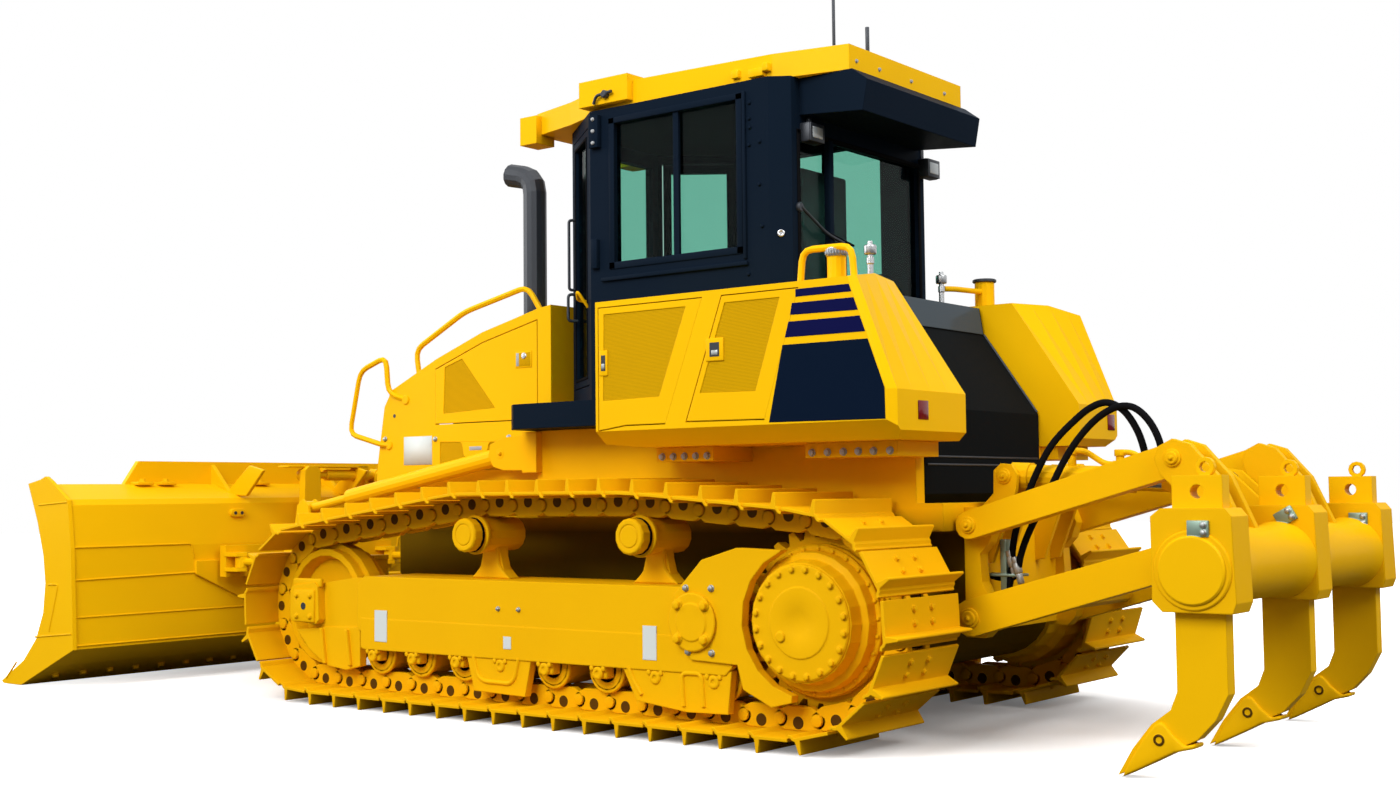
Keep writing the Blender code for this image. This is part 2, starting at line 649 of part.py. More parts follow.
def cab():
    frame = slab("cab_frame", "z", CAB_PLAN, CAB_FLOOR, CAB_TOP)
    cut(frame,
        slab("cab_hollow", "z", CAB_INSIDE, CAB_FLOOR + 0.05, CAB_TOP + 0.2),
        box("windscreen_cut", (-0.27, 0.27), (-2.1, -1.85), (2.10, 2.90)),
        box("side_cut", (-0.8, 0.8), (-1.42, -0.66), (2.22, 2.92)),
        box("rear_cut", (-0.54, 0.54), (-0.5, -0.3), (2.05, 2.74)))
    for label, side in SIDES:
        hinged = (DOOR_S[0] + DOOR_GAP - GAP, DOOR_S[1])
        cut(frame, door_block(f"cab_door_cut_{label}", side, hinged, DOOR_Z, (-0.12, 0.08)))
    pieces = [slab("overhang", "x", [(-0.41, 2.83), (-0.046, 2.80), (-0.02, 2.94), (-0.10, CAB_TOP),
                                     (-0.41, CAB_TOP)], -0.53, 0.53)]
    for label, side in SIDES:
        plan = [(side * x, y) for x, y in STEP_PLAN]
        pieces.append(slab(f"step_{label}", "z", plan, 1.405, 1.53))
        pieces.append(box(f"window_bar_{label}", span(side, 0.640, 0.656), (-1.048, -1.015),
                          (2.21, 2.93)))
    node(join(frame, *pieces), "dark")


cab()
PANE = 0.006
node(box("windscreen", (-0.2697, 0.2697), (-1.968, -1.968 + PANE), (2.1003, 2.8997)), "glass")
node(box("rear_window", (-0.5397, 0.5397), (-0.418, -0.418 + PANE), (2.0503, 2.7397)), "glass")
for label, side in SIDES:
    pane = box(f"side_window_{label}", span(side, 0.632, 0.632 + PANE), (-1.4197, -0.6603),
               (2.2203, 2.9197))
    node(pane, "glass")
    inset = (DOOR_S[0] + DOOR_GAP, DOOR_S[1] - DOOR_GAP)
    height = (DOOR_Z[0] + DOOR_GAP, DOOR_Z[1] - DOOR_GAP)
    door = door_block(f"cab_door_{label}", side, inset, height, (-0.035, 0.0))
    hole = (inset[0] + 0.045, inset[1] - 0.045)
    tall = (height[0] + 0.045, height[1] - 0.045)
    cut(door, door_block(f"cab_door_hole_{label}", side, hole, tall, (-0.2, 0.2)))
    hinge = DOOR_FOOT + DOOR_RUN * inset[0]
    pivot = (side * hinge.x, hinge.y, height[0])
    node(door, "dark", pivot)
    hole = (hole[0] + GAP, hole[1] - GAP)
    tall = (tall[0] + GAP, tall[1] - GAP)
    pane = door_block(f"door_glass_{label}", side, hole, tall, (-0.022, -0.016))
    node(pane, "glass", pivot)

ROOF_PLAN = mirrored([(0.42, -2.17), (0.50, -1.86), (0.60, -1.60), (0.65, -1.28), (0.60, -0.495),
                      (0.52, -0.12)])
roof = slab("cab_roof", "z", ROOF_PLAN, CAB_TOP + GAP, ROOF_TOP)
join(roof, rod("whip_antenna", (0.307, -0.34, 3.10), (0.307, -0.34, 3.50), 0.006, 6),
     rod("short_antenna", (0.20, -0.22, 3.10), (0.20, -0.22, 3.28), 0.008, 6))
for label, side in SIDES:
    join(roof, box(f"side_lamp_{label}", span(side, 0.52, 0.685), (-1.63, -1.31), (3.02, 3.15)),
         box(f"front_lamp_{label}", span(side, 0.33, 0.47), (-2.25, -2.13), (2.95, 3.10)))
node(roof, "paint")

seat = box("operator_station", (-0.24, 0.24), (-1.12, -0.66), (CAB_FLOOR + 0.05 + GAP, 2.02))
join(seat, box("seat_back", (-0.22, 0.22), (-0.74, -0.60), (1.95, 2.68)),
     box("cab_mat", (-0.26, 0.26), (-1.86, -0.70), (CAB_FLOOR + 0.05 + GAP, 1.61)),
     box("dash", (-0.20, 0.20), (-1.90, -1.72), (1.59, 2.22)))
for label, side in SIDES:
    join(seat, box(f"console_{label}", span(side, 0.23, 0.42), (-1.30, -0.62), (1.65, 2.20)))
node(seat, "seat")

# Fenders and tank
FENDER_BACK = 0.465
FENDER_CREST = 2.0
FENDER_DOORS = {
    "front": [(-1.100, 1.365), (-0.940, 1.385), (-0.710, 1.385), (-0.500, 1.925), (-1.100, 1.925)],
    "rear": [(-0.590, 1.390), (-0.170, 1.385), (0.010, 1.925), (-0.390, 1.925)],
}
FENDER_SHEETS = {
    "front": [(-1.075, 1.500), (-0.745, 1.505), (-0.590, 1.895), (-1.068, 1.895)],
    "rear": [(-0.515, 1.510), (-0.216, 1.505), (-0.085, 1.895), (-0.375, 1.895)],
}
FENDER_HINGES = {"front": 2, "rear": 1}  # the hinged side's place in each outline
FENDER_ROOMS = {
    "front": [(-1.060, 1.425), (-0.760, 1.425), (-0.580, 1.885), (-1.060, 1.885)],
    "rear": [(-0.540, 1.430), (-0.220, 1.430), (-0.060, 1.885), (-0.350, 1.885)],
}


def fender_section(share, inset):
    """A fender's side view (y, z), from its outer edge at 0 to its inner edge at 1.

    inset rounds the corner between the side and the rear.
    """
    top = min(FENDER_TOP + (FENDER_CREST - FENDER_TOP) * share * 2, FENDER_CREST)
    back = FENDER_BACK - inset
    return [(-1.12, 1.303), (-0.90, FENDER_LOW), (back - 0.035, FENDER_LOW), (back, 1.32),
            (back, 1.485), (0.289 - 0.17 * share - inset, top), (-1.12, top)]


def fender_body(name, side, outer):
    """The fender's block: one outline drawn out from its outer to its inner side."""
    bm = bmesh.new()
    sections = []
    for share, inset in ((0.0, 0.035), (0.05, 0.0), (0.25, 0.0), (0.5, 0.0), (0.75, 0.0), (1.0, 0.0)):
        x = side * (outer + (FENDER_IN - outer) * share)
        sections.append([bm.verts.new((x, y, z)) for y, z in fender_section(share, inset)])
    for here, there in zip(sections, sections[1:]):
        for a, b, c, d in zip(here, here[1:] + here[:1], there[1:] + there[:1], there):
            bm.faces.new((a, b, c, d))
    bm.faces.new(sections[0])
    bm.faces.new(sections[-1])
    return finish(name, bm)


def fender(name, side):
    outer = FENDER_OUT if side > 0 else FENDER_RIGHT
    body = fender_body(name, side, outer)
    cab_room = box(f"{name}_cab_room", span(side, 0.5, 0.69), (-1.3, -0.375), (1.1, 2.1))
    low_edge = slab(f"{name}_low_edge", "y",
                    [(side * (outer + 0.05), 1.36), (side * (outer + 0.05), 1.20),
                     (side * (outer - 0.105), 1.20), (side * (outer - 0.105), 1.275),
                     (side * (outer + 0.002), 1.362)], -1.5, 0.7)
    cut(body, cab_room, low_edge)
    if side > 0:
        for piece, outline in FENDER_DOORS.items():
            cut(body,
                slab(f"{piece}_door_seat", "x", grown(outline, DOOR_GAP, FENDER_HINGES[piece]),
                     FENDER_OUT - WALL - GAP, 1.3),
                slab(f"{piece}_room", "x", FENDER_ROOMS[piece], 0.76, 1.2))
        join(body,
             tube("fender_grab", [(1.05, -0.047, 1.93), (1.05, -0.03, 2.10), (1.05, 0.215, 2.095),
                                  (1.05, 0.228, 1.93)], 0.015, 0.05),
             rod("fill_neck_left", (1.02, 0.12, 1.93), (1.02, 0.12, 2.06), 0.04, 12))
    else:
        join(body, rod("fill_neck_right", (-0.75, -0.13, 1.93), (-0.75, -0.13, 2.14), 0.05, 14))
    node(body, "paint")


for label, side in SIDES:
    fender(f"fender_{label}", side)
for piece, outline in FENDER_DOORS.items():
    door = slab(f"fender_{piece}_door", "x", outline, FENDER_OUT - PANEL_DEPTH, FENDER_OUT)
    cut(door, slab(f"{piece}_sheet", "x", FENDER_SHEETS[piece], FENDER_OUT - SHEET_IN, 1.2))
    low = outline[FENDER_HINGES[piece]]
    node(door, "paint", (FENDER_OUT, *low))

node(slab("rear_tank", "x",
          [(-0.37, 1.0203), (TANK_BACK - 0.04, 1.0203), (TANK_BACK, 1.06), (TANK_BACK, 1.44),
           (-0.032, 1.845), (-0.055, 1.985), (-0.37, 1.985)], -TANK_X, TANK_X), "black")

# Blade frame


def c_frame():
    y, z = FRAME_PIN
    frame = box("c_frame", (-ARM_X[1], ARM_X[1]), (-4.12, -3.93), (0.33, 0.54))
    arm = [(y + 0.09, z), (y + 0.07, z + 0.065), (y, z + 0.09), (-4.10, 0.555), (-4.12, 0.53),
           (-4.12, 0.34), (-4.05, 0.33), (y, z - 0.09), (y + 0.07, z - 0.065)]
    nose = [(0.34, -3.98), (0.34, -4.11), (0.083, -4.43), (0.055, -4.512), (0.0, -4.535),
            (-0.055, -4.512), (-0.083, -4.43), (-0.34, -4.11), (-0.34, -3.98)]
    pieces = [slab("nose_low", "z", nose, 0.335, 0.403), slab("nose_high", "z", nose, 0.537, 0.60)]
    ear = [(-3.96, 0.755), (-3.74, 0.755), (-3.79, 0.97), (-3.80, 1.03), (-3.85, 1.065),
           (-3.90, 1.03), (-3.91, 0.97)]
    base_x, base_y, base_z = ANGLE_BASE
    fork = [(base_x - 0.048, base_y + 0.10), (base_x - 0.048, base_y + 0.02),
            (base_x - 0.03, base_y - 0.045), (base_x + 0.03, base_y - 0.045),
            (base_x + 0.058, base_y + 0.02), (base_x + 0.058, base_y + 0.10)]
    for label, side in SIDES:
        pieces += [
            slab(f"arm_{label}", "x", arm, *span(side, *ARM_X)),
            slab(f"lift_ear_inner_{label}_c", "x", ear, *span(side, 0.540, 0.557)),
            slab(f"lift_ear_outer_{label}_c", "x", ear, *span(side, 0.623, 0.640)),
            box(f"lift_bridge_{label}", span(side, 0.541, 0.690), (-3.95, -3.75), (0.750, 0.800)),
            box(f"lift_post_{label}", span(side, 0.643, 0.688), (-3.955, -3.745), (0.49, 0.79)),
            box(f"lift_foot_{label}", span(side, 0.600, 0.686), (-3.96, -3.74), (0.48, 0.535)),
            box(f"riser_{label}", span(side, base_x - 0.045, base_x + 0.055),
                (base_y + 0.055, base_y + 0.095), (0.50, base_z + 0.055)),
        ]
        plan = [(side * px, py) for px, py in fork]
        for piece, low, high in (("low", -0.057, -0.033), ("high", 0.033, 0.057)):
            pieces.append(slab(f"angle_fork_{piece}_{label}", "z", plan, base_z + low,
                               base_z + high))
    node(join(frame, *pieces), "paint", (0, y, z))


c_frame()


def blade_pivot():
    """The block that angles on the frame's nose and that the blade tilts on."""
    bar = box("blade_pivot", (-0.66, 0.66), (-4.605, -4.548), (0.60, 0.79))
    pieces = [
        rod("pivot_hub", (0, BALL_Y, 0.403 + GAP), (0, BALL_Y, 0.537 - GAP), 0.075, 16),
        box("pivot_web", (-0.06, 0.06), (-4.60, -4.455), (0.413, 0.527)),
        slab("pivot_mast", "y", [(-0.16, 0.38), (0.16, 0.38), (0.16, 0.66), (0.07, 0.90),
                                 (0.06, 1.25), (0.03, 1.275), (-0.03, 1.275), (-0.06, 1.25),
                                 (-0.07, 0.90), (-0.16, 0.66)], -4.605, -4.548),
    ]
    for label, side in SIDES:
        x = side * ANGLE_EYE[0]
        plan = [(x - 0.075, -4.56), (x - 0.055, -4.46), (x, -4.435), (x + 0.055, -4.46),
                (x + 0.075, -4.56)]
        for piece, low, high in (("low", -0.057, -0.033), ("high", 0.033, 0.057)):
            pieces.append(slab(f"angle_lug_{piece}_{label}", "z", plan, ANGLE_EYE[2] + low,
                               ANGLE_EYE[2] + high))
    node(join(bar, *pieces), "paint", (0, BALL_Y, BALL_Z))


blade_pivot()

BLADE_LINE = [(-5.350, 0.006), (-5.165, 0.006), (-4.860, 0.130), (-4.640, 0.232), (-4.655, 0.50),
              (-4.666, 0.80), (-4.700, 1.045), (-4.725, 1.078), (-4.960, 1.166), (-5.085, 1.170),
              (-4.985, 0.960), (-4.925, 0.760), (-4.905, 0.600), (-4.925, 0.430), (-4.995, 0.280),
              (-5.130, 0.150)]
END_LINE = [(-5.375, 0.020), (-5.355, 0.006), (-5.165, 0.006), (-4.626, 0.232), (-4.660, 0.80),
            (-4.700, 1.075), (-4.880, 1.185), (-4.935, 1.212), (-4.985, 1.195), (-5.115, 1.172),
            (-5.010, 0.950), (-4.945, 0.760), (-4.920, 0.600), (-4.940, 0.430), (-5.010, 0.280),
            (-5.140, 0.150)]


def blade():
    body = slab("blade", "x", BLADE_LINE, -BLADE_X + 0.01, BLADE_X - 0.01)
    pieces = [
        rod("tilt_boss", (0, -4.75, BALL_Z), (0, -4.605 - GAP, BALL_Z), 0.10, 18),
        slab("spill_guard", "y", [(-1.10, 1.12), (1.10, 1.12), (0.97, 1.308), (-0.97, 1.308)],
             -5.03, -4.995),
        box("tilt_foot", (-0.66, -0.53), (-4.76, -4.582), (1.03, 1.15)),
    ]
    ear = [(-0.655, 1.10), (-0.545, 1.10), (-0.56, 1.23), (-0.60, 1.265), (-0.64, 1.23)]
    for piece, low, high in (("front", -4.690, -4.666), ("rear", -4.606, -4.582)):
        pieces.append(slab(f"tilt_ear_{piece}", "y", ear, low, high))
    for label, side in SIDES:
        plan = [(side * x, z) for x, z in ((0.80, 0.70), (0.80, 0.62), (0.42, 0.44), (0.35, 0.44),
                                          (0.35, 0.70))]
        pieces.append(slab(f"doubler_{label}", "y", plan, -4.69, -4.640))
        pieces.append(slab(f"end_plate_{label}", "x", END_LINE, *span(side, 1.595, BLADE_X)))
        x, slant = side * 0.42, side * 0.06
        pieces.append(slab(f"stay_{label}", "x", [(-5.01, 1.12), (-4.80, 1.10), (-5.00, 1.295)],
                           *sorted((x, x + 0.03 * side))))
    node(join(body, *pieces), "paint", (0, BALL_Y, BALL_Z))


blade()


# Cylinders
def cylinder(kind, label, base, eye, across_dir, barrel, stroke_rod, base_eye, rod_eye):
    """A barrel with a blind bore and its rod, each with its eye.

    barrel holds (radius, bore radius, start, length), stroke_rod (radius, start) and the eyes
    (radius, half width). The eyes lie across the given direction.
    """
    base, eye, across_dir = Vector(base), Vector(eye), Vector(across_dir).normalized()
    ahead = (eye - base).normalized()
    radius, bore, start, length = barrel
    neck = base_eye[1] * 0.95
    profile = [(0, 0.0), (neck, 0.0), (neck, start), (radius, start), (radius, length),
               (bore, length), (bore, start + 0.03), (0, start + 0.03)]
    suffix = f"_{label}" if label else ""
    body = turned(f"{kind}_barrel{suffix}", profile, base, base + ahead, 14)
    half = across_dir * base_eye[1]
    join(body, rod(f"{kind}_barrel_eye{suffix}", base - half, base + half, base_eye[0], 14))
    node(body, "paint", base)
    rod_radius, rod_start = stroke_rod
    length = (eye - base).length
    shaft = rod(f"{kind}_rod{suffix}", base + ahead * rod_start, eye, rod_radius, 12)
    half = across_dir * rod_eye[1]
    join(shaft, rod(f"{kind}_rod_eye{suffix}", eye - half, eye + half, rod_eye[0], 14))
    node(shaft, "steel", eye)


for label, side in SIDES:
    cylinder("lift", label, (side * LIFT_X, *LIFT_PIN), (side * LIFT_X, *LIFT_EYE), (1, 0, 0),
             (0.047, 0.026, 0.10, 1.29), (0.0252, 0.40), (0.055, 0.0537), (0.045, 0.0327))
    cylinder("angle", label, (side * ANGLE_BASE[0], *ANGLE_BASE[1:]),
             (side * ANGLE_EYE[0], *ANGLE_EYE[1:]), (0, 0, 1),
             (0.042, 0.024, 0.085, 0.80), (0.0232, 0.38), (0.045, 0.0327), (0.043, 0.0327))
cylinder("tilt", "", (TILT_BASE_X, TILT_Y, TILT_Z), (0, TILT_Y, TILT_Z), (0, 1, 0),
         (0.036, 0.023, 0.075, 0.43), (0.0222, 0.20), (0.042, 0.0297), (0.040, 0.0307))

# Ripper
BACK = REAR_Y + GAP


def ripper_bracket():
    plate = box("ripper_bracket", (-0.44, 0.44), (BACK, BACK + 0.035), (0.46, 1.0))
    pieces = []
    cheek = [(BACK, 0.44), (0.47, 0.44), (0.51, 0.48), (0.525, 0.54), (0.50, 0.60), (0.462, 0.68),
             (0.455, 0.80), (0.50, 0.85), (0.525, 0.92), (0.50, 0.985), (0.46, 1.0), (BACK, 1.0)]
    ear = [(BACK, 0.74), (0.46, 0.76), (0.58, 1.07), (0.588, 1.14), (0.56, 1.185), (0.51, 1.19),
           (0.475, 1.16), (0.472, 1.06), (BACK + 0.02, 0.99), (BACK, 0.97)]
    for label, side in SIDES:
        pieces.append(slab(f"cheek_{label}", "x", cheek, *span(side, 0.37, 0.44)))
        for piece, low, high in (("inner", -0.090, -0.066), ("outer", 0.066, 0.090)):
            pieces.append(slab(f"ripper_ear_{piece}_{label}", "x", ear,
                               *span(side, RIP_X + low, RIP_X + high)))
    node(join(plate, *pieces), "paint")


def bar_outline(first, last, half_first, half_last):
    """A link's side view: a straight bar with rounded ends."""
    run = math.degrees(math.atan2(last[1] - first[1], last[0] - first[0]))
    return (arc(last, half_last, run - 90, run + 90, 6) + arc(first, half_first, run + 90, run + 270, 6))


ripper_bracket()
LOW_REAR = (LINK_LOW[0] + LINK_REACH[0], LINK_LOW[1] + LINK_REACH[1])
HIGH_REAR = (LINK_HIGH[0] + LINK_REACH[0], LINK_HIGH[1] + LINK_REACH[1])
low_bar = bar_outline(LINK_LOW, LOW_REAR, 0.078, 0.070)
high_bar = bar_outline(LINK_HIGH, HIGH_REAR, 0.060, 0.066)
lower = slab("ripper_lower_link", "x", low_bar, *LINK_X)
tie = (LINK_LOW[0] + 0.28 * LINK_REACH[0], LINK_LOW[1] + 0.28 * LINK_REACH[1])
join(lower, slab("lower_bar_right", "x", low_bar, -LINK_X[1], -LINK_X[0]),
     rod("lower_tie", (-0.47, *tie), (0.47, *tie), 0.055, 14))
node(lower, "paint", (0, *LINK_LOW))
for label, side in SIDES:
    link = slab(f"ripper_upper_link_{label}", "x", high_bar, *span(side, *LINK_X))
    node(link, "paint", (side * 0.488, *LINK_HIGH))


def ripper_beam():
    beam = rod("ripper_beam", (-0.95, *BEAM_C), (0.95, *BEAM_C), 0.138, 20)
    pieces, slots = [], []
    pocket = [(1.462, 0.66), (1.50, 0.622), (1.76, 0.622), (1.775, 0.66), (1.765, 0.97),
              (1.74, 1.0), (1.50, 1.0), (1.462, 0.97)]
    for number, x in enumerate(SHANKS):
        pieces.append(slab(f"pocket_{number}", "x", pocket, x - 0.085, x + 0.085))
        room = SHANK_HALF + GAP
        slots.append(box(f"slot_{number}", (x - room, x + room), (1.527 - GAP, 1.717 + GAP),
                         (0.5, 1.2)))
    ear = [(1.315, 0.775), (1.345, 0.725), (1.40, 0.705), (1.60, 0.66), (1.66, 0.90), (1.56, 1.12),
           (1.45, 1.245), (1.38, 1.268), (1.325, 1.24), (1.305, 1.19), (1.325, 1.13), (1.42, 1.04),
           (1.455, 0.96), (1.43, 0.89), (1.36, 0.87), (1.32, 0.845)]
    rod_ear = [(1.235, 1.07), (1.232, 1.12), (1.27, 1.158), (1.33, 1.15), (1.50, 0.99), (1.50, 0.84),
               (1.44, 0.90), (1.30, 1.045)]
    for label, side in SIDES:
        pieces.append(slab(f"ear_outer_{label}", "x", ear, *span(side, 0.536, 0.575)))
        pieces.append(slab(f"ear_inner_{label}", "x", ear, *span(side, 0.400, 0.440)))
        for piece, low, high in (("inner", -0.084, -0.060), ("outer", 0.060, 0.084)):
            pieces.append(slab(f"rod_ear_{piece}_{label}", "x", rod_ear,
                               *span(side, RIP_X + low, RIP_X + high)))
    node(cut(join(beam, *pieces), *slots), "paint", (0, *LOW_REAR))


ripper_beam()
SHANK_LINE = [(1.527, 1.120), (1.527, 0.330), (1.500, 0.262), (1.425, 0.205), (1.350, 0.110),
              (1.290, 0.008), (1.500, 0.112), (1.600, 0.162), (1.668, 0.235), (1.717, 0.330),
              (1.717, 1.120)]
for label, x in zip(("left", "middle", "right"), SHANKS):
    shank = slab(f"shank_{label}", "x", SHANK_LINE, x - SHANK_HALF, x + SHANK_HALF,
                 [arc((1.622, 1.060), 0.026, 0, 330, 11)])
    eye = slab(f"lift_eye_{label}", "x", arc((1.645, 1.150), 0.036, 0, 330, 11), x - 0.012,
               x + 0.012, [arc((1.645, 1.150), 0.020, 0, 315, 7)])
    node(join(shank, eye), "paint", (x, *LOW_REAR))
for label, side in SIDES:
    cylinder("ripper", label, (side * RIP_X, *RIP_BASE), (side * RIP_X, *RIP_EYE), (1, 0, 0),
             (0.055, 0.031, 0.09, 0.56), (0.0302, 0.27), (0.050, 0.0657), (0.048, 0.0597))

for obj in parts.objects:
    if obj.type == "MESH" and ("barrel" in obj.name or "rod" in obj.name or "idler" in obj.name):
        obj.data.polygons.foreach_set("use_smooth", [True] * len(obj.data.polygons))
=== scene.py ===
"""The crawler dozer's visual layer: finishes, fittings, crawler chains and the studio.

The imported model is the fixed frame. The machine faces -Y, its left side is +X and the ground is
z = 0. Sizes are in metres, with Y measured from the sprockets' axle, as the machine was measured.
"""

from __future__ import annotations

import logging
import math
from collections.abc import Iterable, Sequence
from dataclasses import dataclass, field
from enum import Enum

import bpy
from mathutils import Matrix, Vector


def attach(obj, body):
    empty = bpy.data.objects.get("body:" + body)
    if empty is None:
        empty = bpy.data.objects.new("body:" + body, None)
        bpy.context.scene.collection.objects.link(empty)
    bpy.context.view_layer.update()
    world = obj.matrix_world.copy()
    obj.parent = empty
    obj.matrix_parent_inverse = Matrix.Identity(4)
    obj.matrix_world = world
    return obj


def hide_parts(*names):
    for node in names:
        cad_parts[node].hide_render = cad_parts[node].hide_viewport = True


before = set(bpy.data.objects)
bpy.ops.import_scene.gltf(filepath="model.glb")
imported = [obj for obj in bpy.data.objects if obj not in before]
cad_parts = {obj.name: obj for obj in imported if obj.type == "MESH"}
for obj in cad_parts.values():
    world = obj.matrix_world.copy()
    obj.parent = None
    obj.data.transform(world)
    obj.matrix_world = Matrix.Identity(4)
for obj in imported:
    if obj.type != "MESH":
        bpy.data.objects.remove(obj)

LOG = logging.getLogger("dozer")
AXLE_Y = 1.80  # the sprockets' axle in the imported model
SHEET = 0.0012  # the thickness of punched sheets, stripes and panels
SHARP = 35.0  # edges that turn more than this, in degrees, are rounded
ROUND_RIM = 50.0  # the same for round bars, whose sides turn less than their rims
SMOOTH = 32.0  # faces that turn less than this, in degrees, are shaded as one

Point = tuple[float, float, float]
Pair = tuple[float, float]
Pieces = list[bpy.types.Object]


def at(x: float, y: float, z: float) -> Vector:
    """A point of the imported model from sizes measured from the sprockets' axle."""
    return Vector((x, y + AXLE_Y, z))


class Side(Enum):
    """The machine's two sides, with the sign of X on each."""

    LEFT = 1
    RIGHT = -1

    @property
    def label(self) -> str:
        """The side's name as it stands in the nodes' names."""
        return self.name.lower()


class Group:
    """Shader node groups that several finishes share, each built once.

    Attributes:
        patches: the scale of the broad patches.
        fade: the noise at which the patches start and at which they are full.
        uneven: how much the grain adds to the roughness.
    """

    patches: float = 1.7
    fade: Pair = (0.35, 0.75)
    uneven: float = 0.12
    _made: dict[str, bpy.types.NodeTree] = {}

    @classmethod
    def weathering(cls) -> bpy.types.NodeTree:
        """Broad tone changes and fine grain.

        Returns:
            A group that takes two colours and puts out a colour, a roughness and a height.
        """
        if "weathering" in cls._made:
            return cls._made["weathering"]
        tree = bpy.data.node_groups.new("weathering", "ShaderNodeTree")
        face = tree.interface
        for name, kind, value in (
            ("Colour", "NodeSocketColor", (0.8, 0.5, 0.02, 1)),
            ("Second", "NodeSocketColor", (0.7, 0.4, 0.02, 1)),
            ("Roughness", "NodeSocketFloat", 0.35),
            ("Grain", "NodeSocketFloat", 60.0),
            ("Amount", "NodeSocketFloat", 0.5),
        ):
            socket = face.new_socket(name, in_out="INPUT", socket_type=kind)
            socket.default_value = value
        for name, kind in (("Colour", "NodeSocketColor"), ("Roughness", "NodeSocketFloat"),
                           ("Height", "NodeSocketFloat")):
            face.new_socket(name, in_out="OUTPUT", socket_type=kind)
        nodes, links = tree.nodes, tree.links
        given, out = nodes.new("NodeGroupInput"), nodes.new("NodeGroupOutput")
        place = nodes.new("ShaderNodeTexCoord")
        broad, fine = nodes.new("ShaderNodeTexNoise"), nodes.new("ShaderNodeTexNoise")
        broad.inputs["Scale"].default_value = cls.patches
        broad.inputs["Detail"].default_value = 4.0
        fine.inputs["Detail"].default_value = 3.0
        tone, ramp = nodes.new("ShaderNodeMix"), nodes.new("ShaderNodeMapRange")
        tone.data_type = "RGBA"
        ramp.inputs["From Min"].default_value = cls.fade[0]
        ramp.inputs["From Max"].default_value = cls.fade[1]
        scaled, rough = nodes.new("ShaderNodeMath"), nodes.new("ShaderNodeMath")
        scaled.operation = "MULTIPLY"
        rough.operation = "MULTIPLY_ADD"
        rough.inputs[1].default_value = cls.uneven
        links.new(place.outputs["Object"], broad.inputs["Vector"])
        links.new(place.outputs["Object"], fine.inputs["Vector"])
        links.new(given.outputs["Grain"], fine.inputs["Scale"])
        links.new(broad.outputs["Fac"], ramp.inputs["Value"])
        links.new(ramp.outputs["Result"], scaled.inputs[0])
        links.new(given.outputs["Amount"], scaled.inputs[1])
        links.new(scaled.outputs["Value"], tone.inputs["Factor"])
        links.new(given.outputs["Colour"], tone.inputs["A"])
        links.new(given.outputs["Second"], tone.inputs["B"])
        links.new(fine.outputs["Fac"], rough.inputs[0])
        links.new(given.outputs["Roughness"], rough.inputs[2])
        links.new(tone.outputs["Result"], out.inputs["Colour"])
        links.new(rough.outputs["Value"], out.inputs["Roughness"])
        links.new(fine.outputs["Fac"], out.inputs["Height"])
        cls._made["weathering"] = tree
        return tree

    @classmethod
    def punched(cls) -> bpy.types.NodeTree:
        """Staggered rows of small round holes in a flat sheet that lies in the Y-Z plane.

        Returns:
            A group that takes the rows' pitch and the holes' share and puts out a hole mask.
        """
        if "punched" in cls._made:
            return cls._made["punched"]
        tree = bpy.data.node_groups.new("punched", "ShaderNodeTree")
        face = tree.interface
        for name, value in (("Pitch", 0.012), ("Hole", 0.32)):
            face.new_socket(name, in_out="INPUT",
                            socket_type="NodeSocketFloat").default_value = value
        face.new_socket("Mask", in_out="OUTPUT", socket_type="NodeSocketFloat")
        nodes, links = tree.nodes, tree.links
        given, out = nodes.new("NodeGroupInput"), nodes.new("NodeGroupOutput")
        place, split = nodes.new("ShaderNodeTexCoord"), nodes.new("ShaderNodeSeparateXYZ")
        links.new(place.outputs["Object"], split.inputs[0])

        def math_node(kind: str, first: object, second: object, third: object = None) -> object:
            """One math node fed by sockets or plain values.

            Args:
                kind: the operation.
                first: a socket or a number.
                second: a socket or a number.
                third: a socket or a number, for operations that take it.

            Returns:
                The node's output socket.
            """
            made = nodes.new("ShaderNodeMath")
            made.operation = kind
            for socket, value in zip(made.inputs, (first, second, third)):
                if isinstance(value, bpy.types.NodeSocket):
                    links.new(value, socket)
                elif value is not None:
                    socket.default_value = value
            return made.outputs[0]

        pitch = given.outputs["Pitch"]
        row = math_node("DIVIDE", split.outputs["Z"], pitch)
        shift = math_node("MULTIPLY", math_node("PINGPONG", math_node("FLOOR", row, 0.0), 1.0), 0.5)
        column = math_node("ADD", math_node("DIVIDE", split.outputs["Y"], pitch), shift)
        u = math_node("SUBTRACT", math_node("FRACT", column, 0.0), 0.5)
        v = math_node("SUBTRACT", math_node("FRACT", row, 0.0), 0.5)
        squares = math_node("ADD", math_node("MULTIPLY", u, u), math_node("MULTIPLY", v, v))
        distance = math_node("SQRT", squares, 0.0)
        links.new(math_node("LESS_THAN", distance, given.outputs["Hole"]), out.inputs["Mask"])
        cls._made["punched"] = tree
        return tree


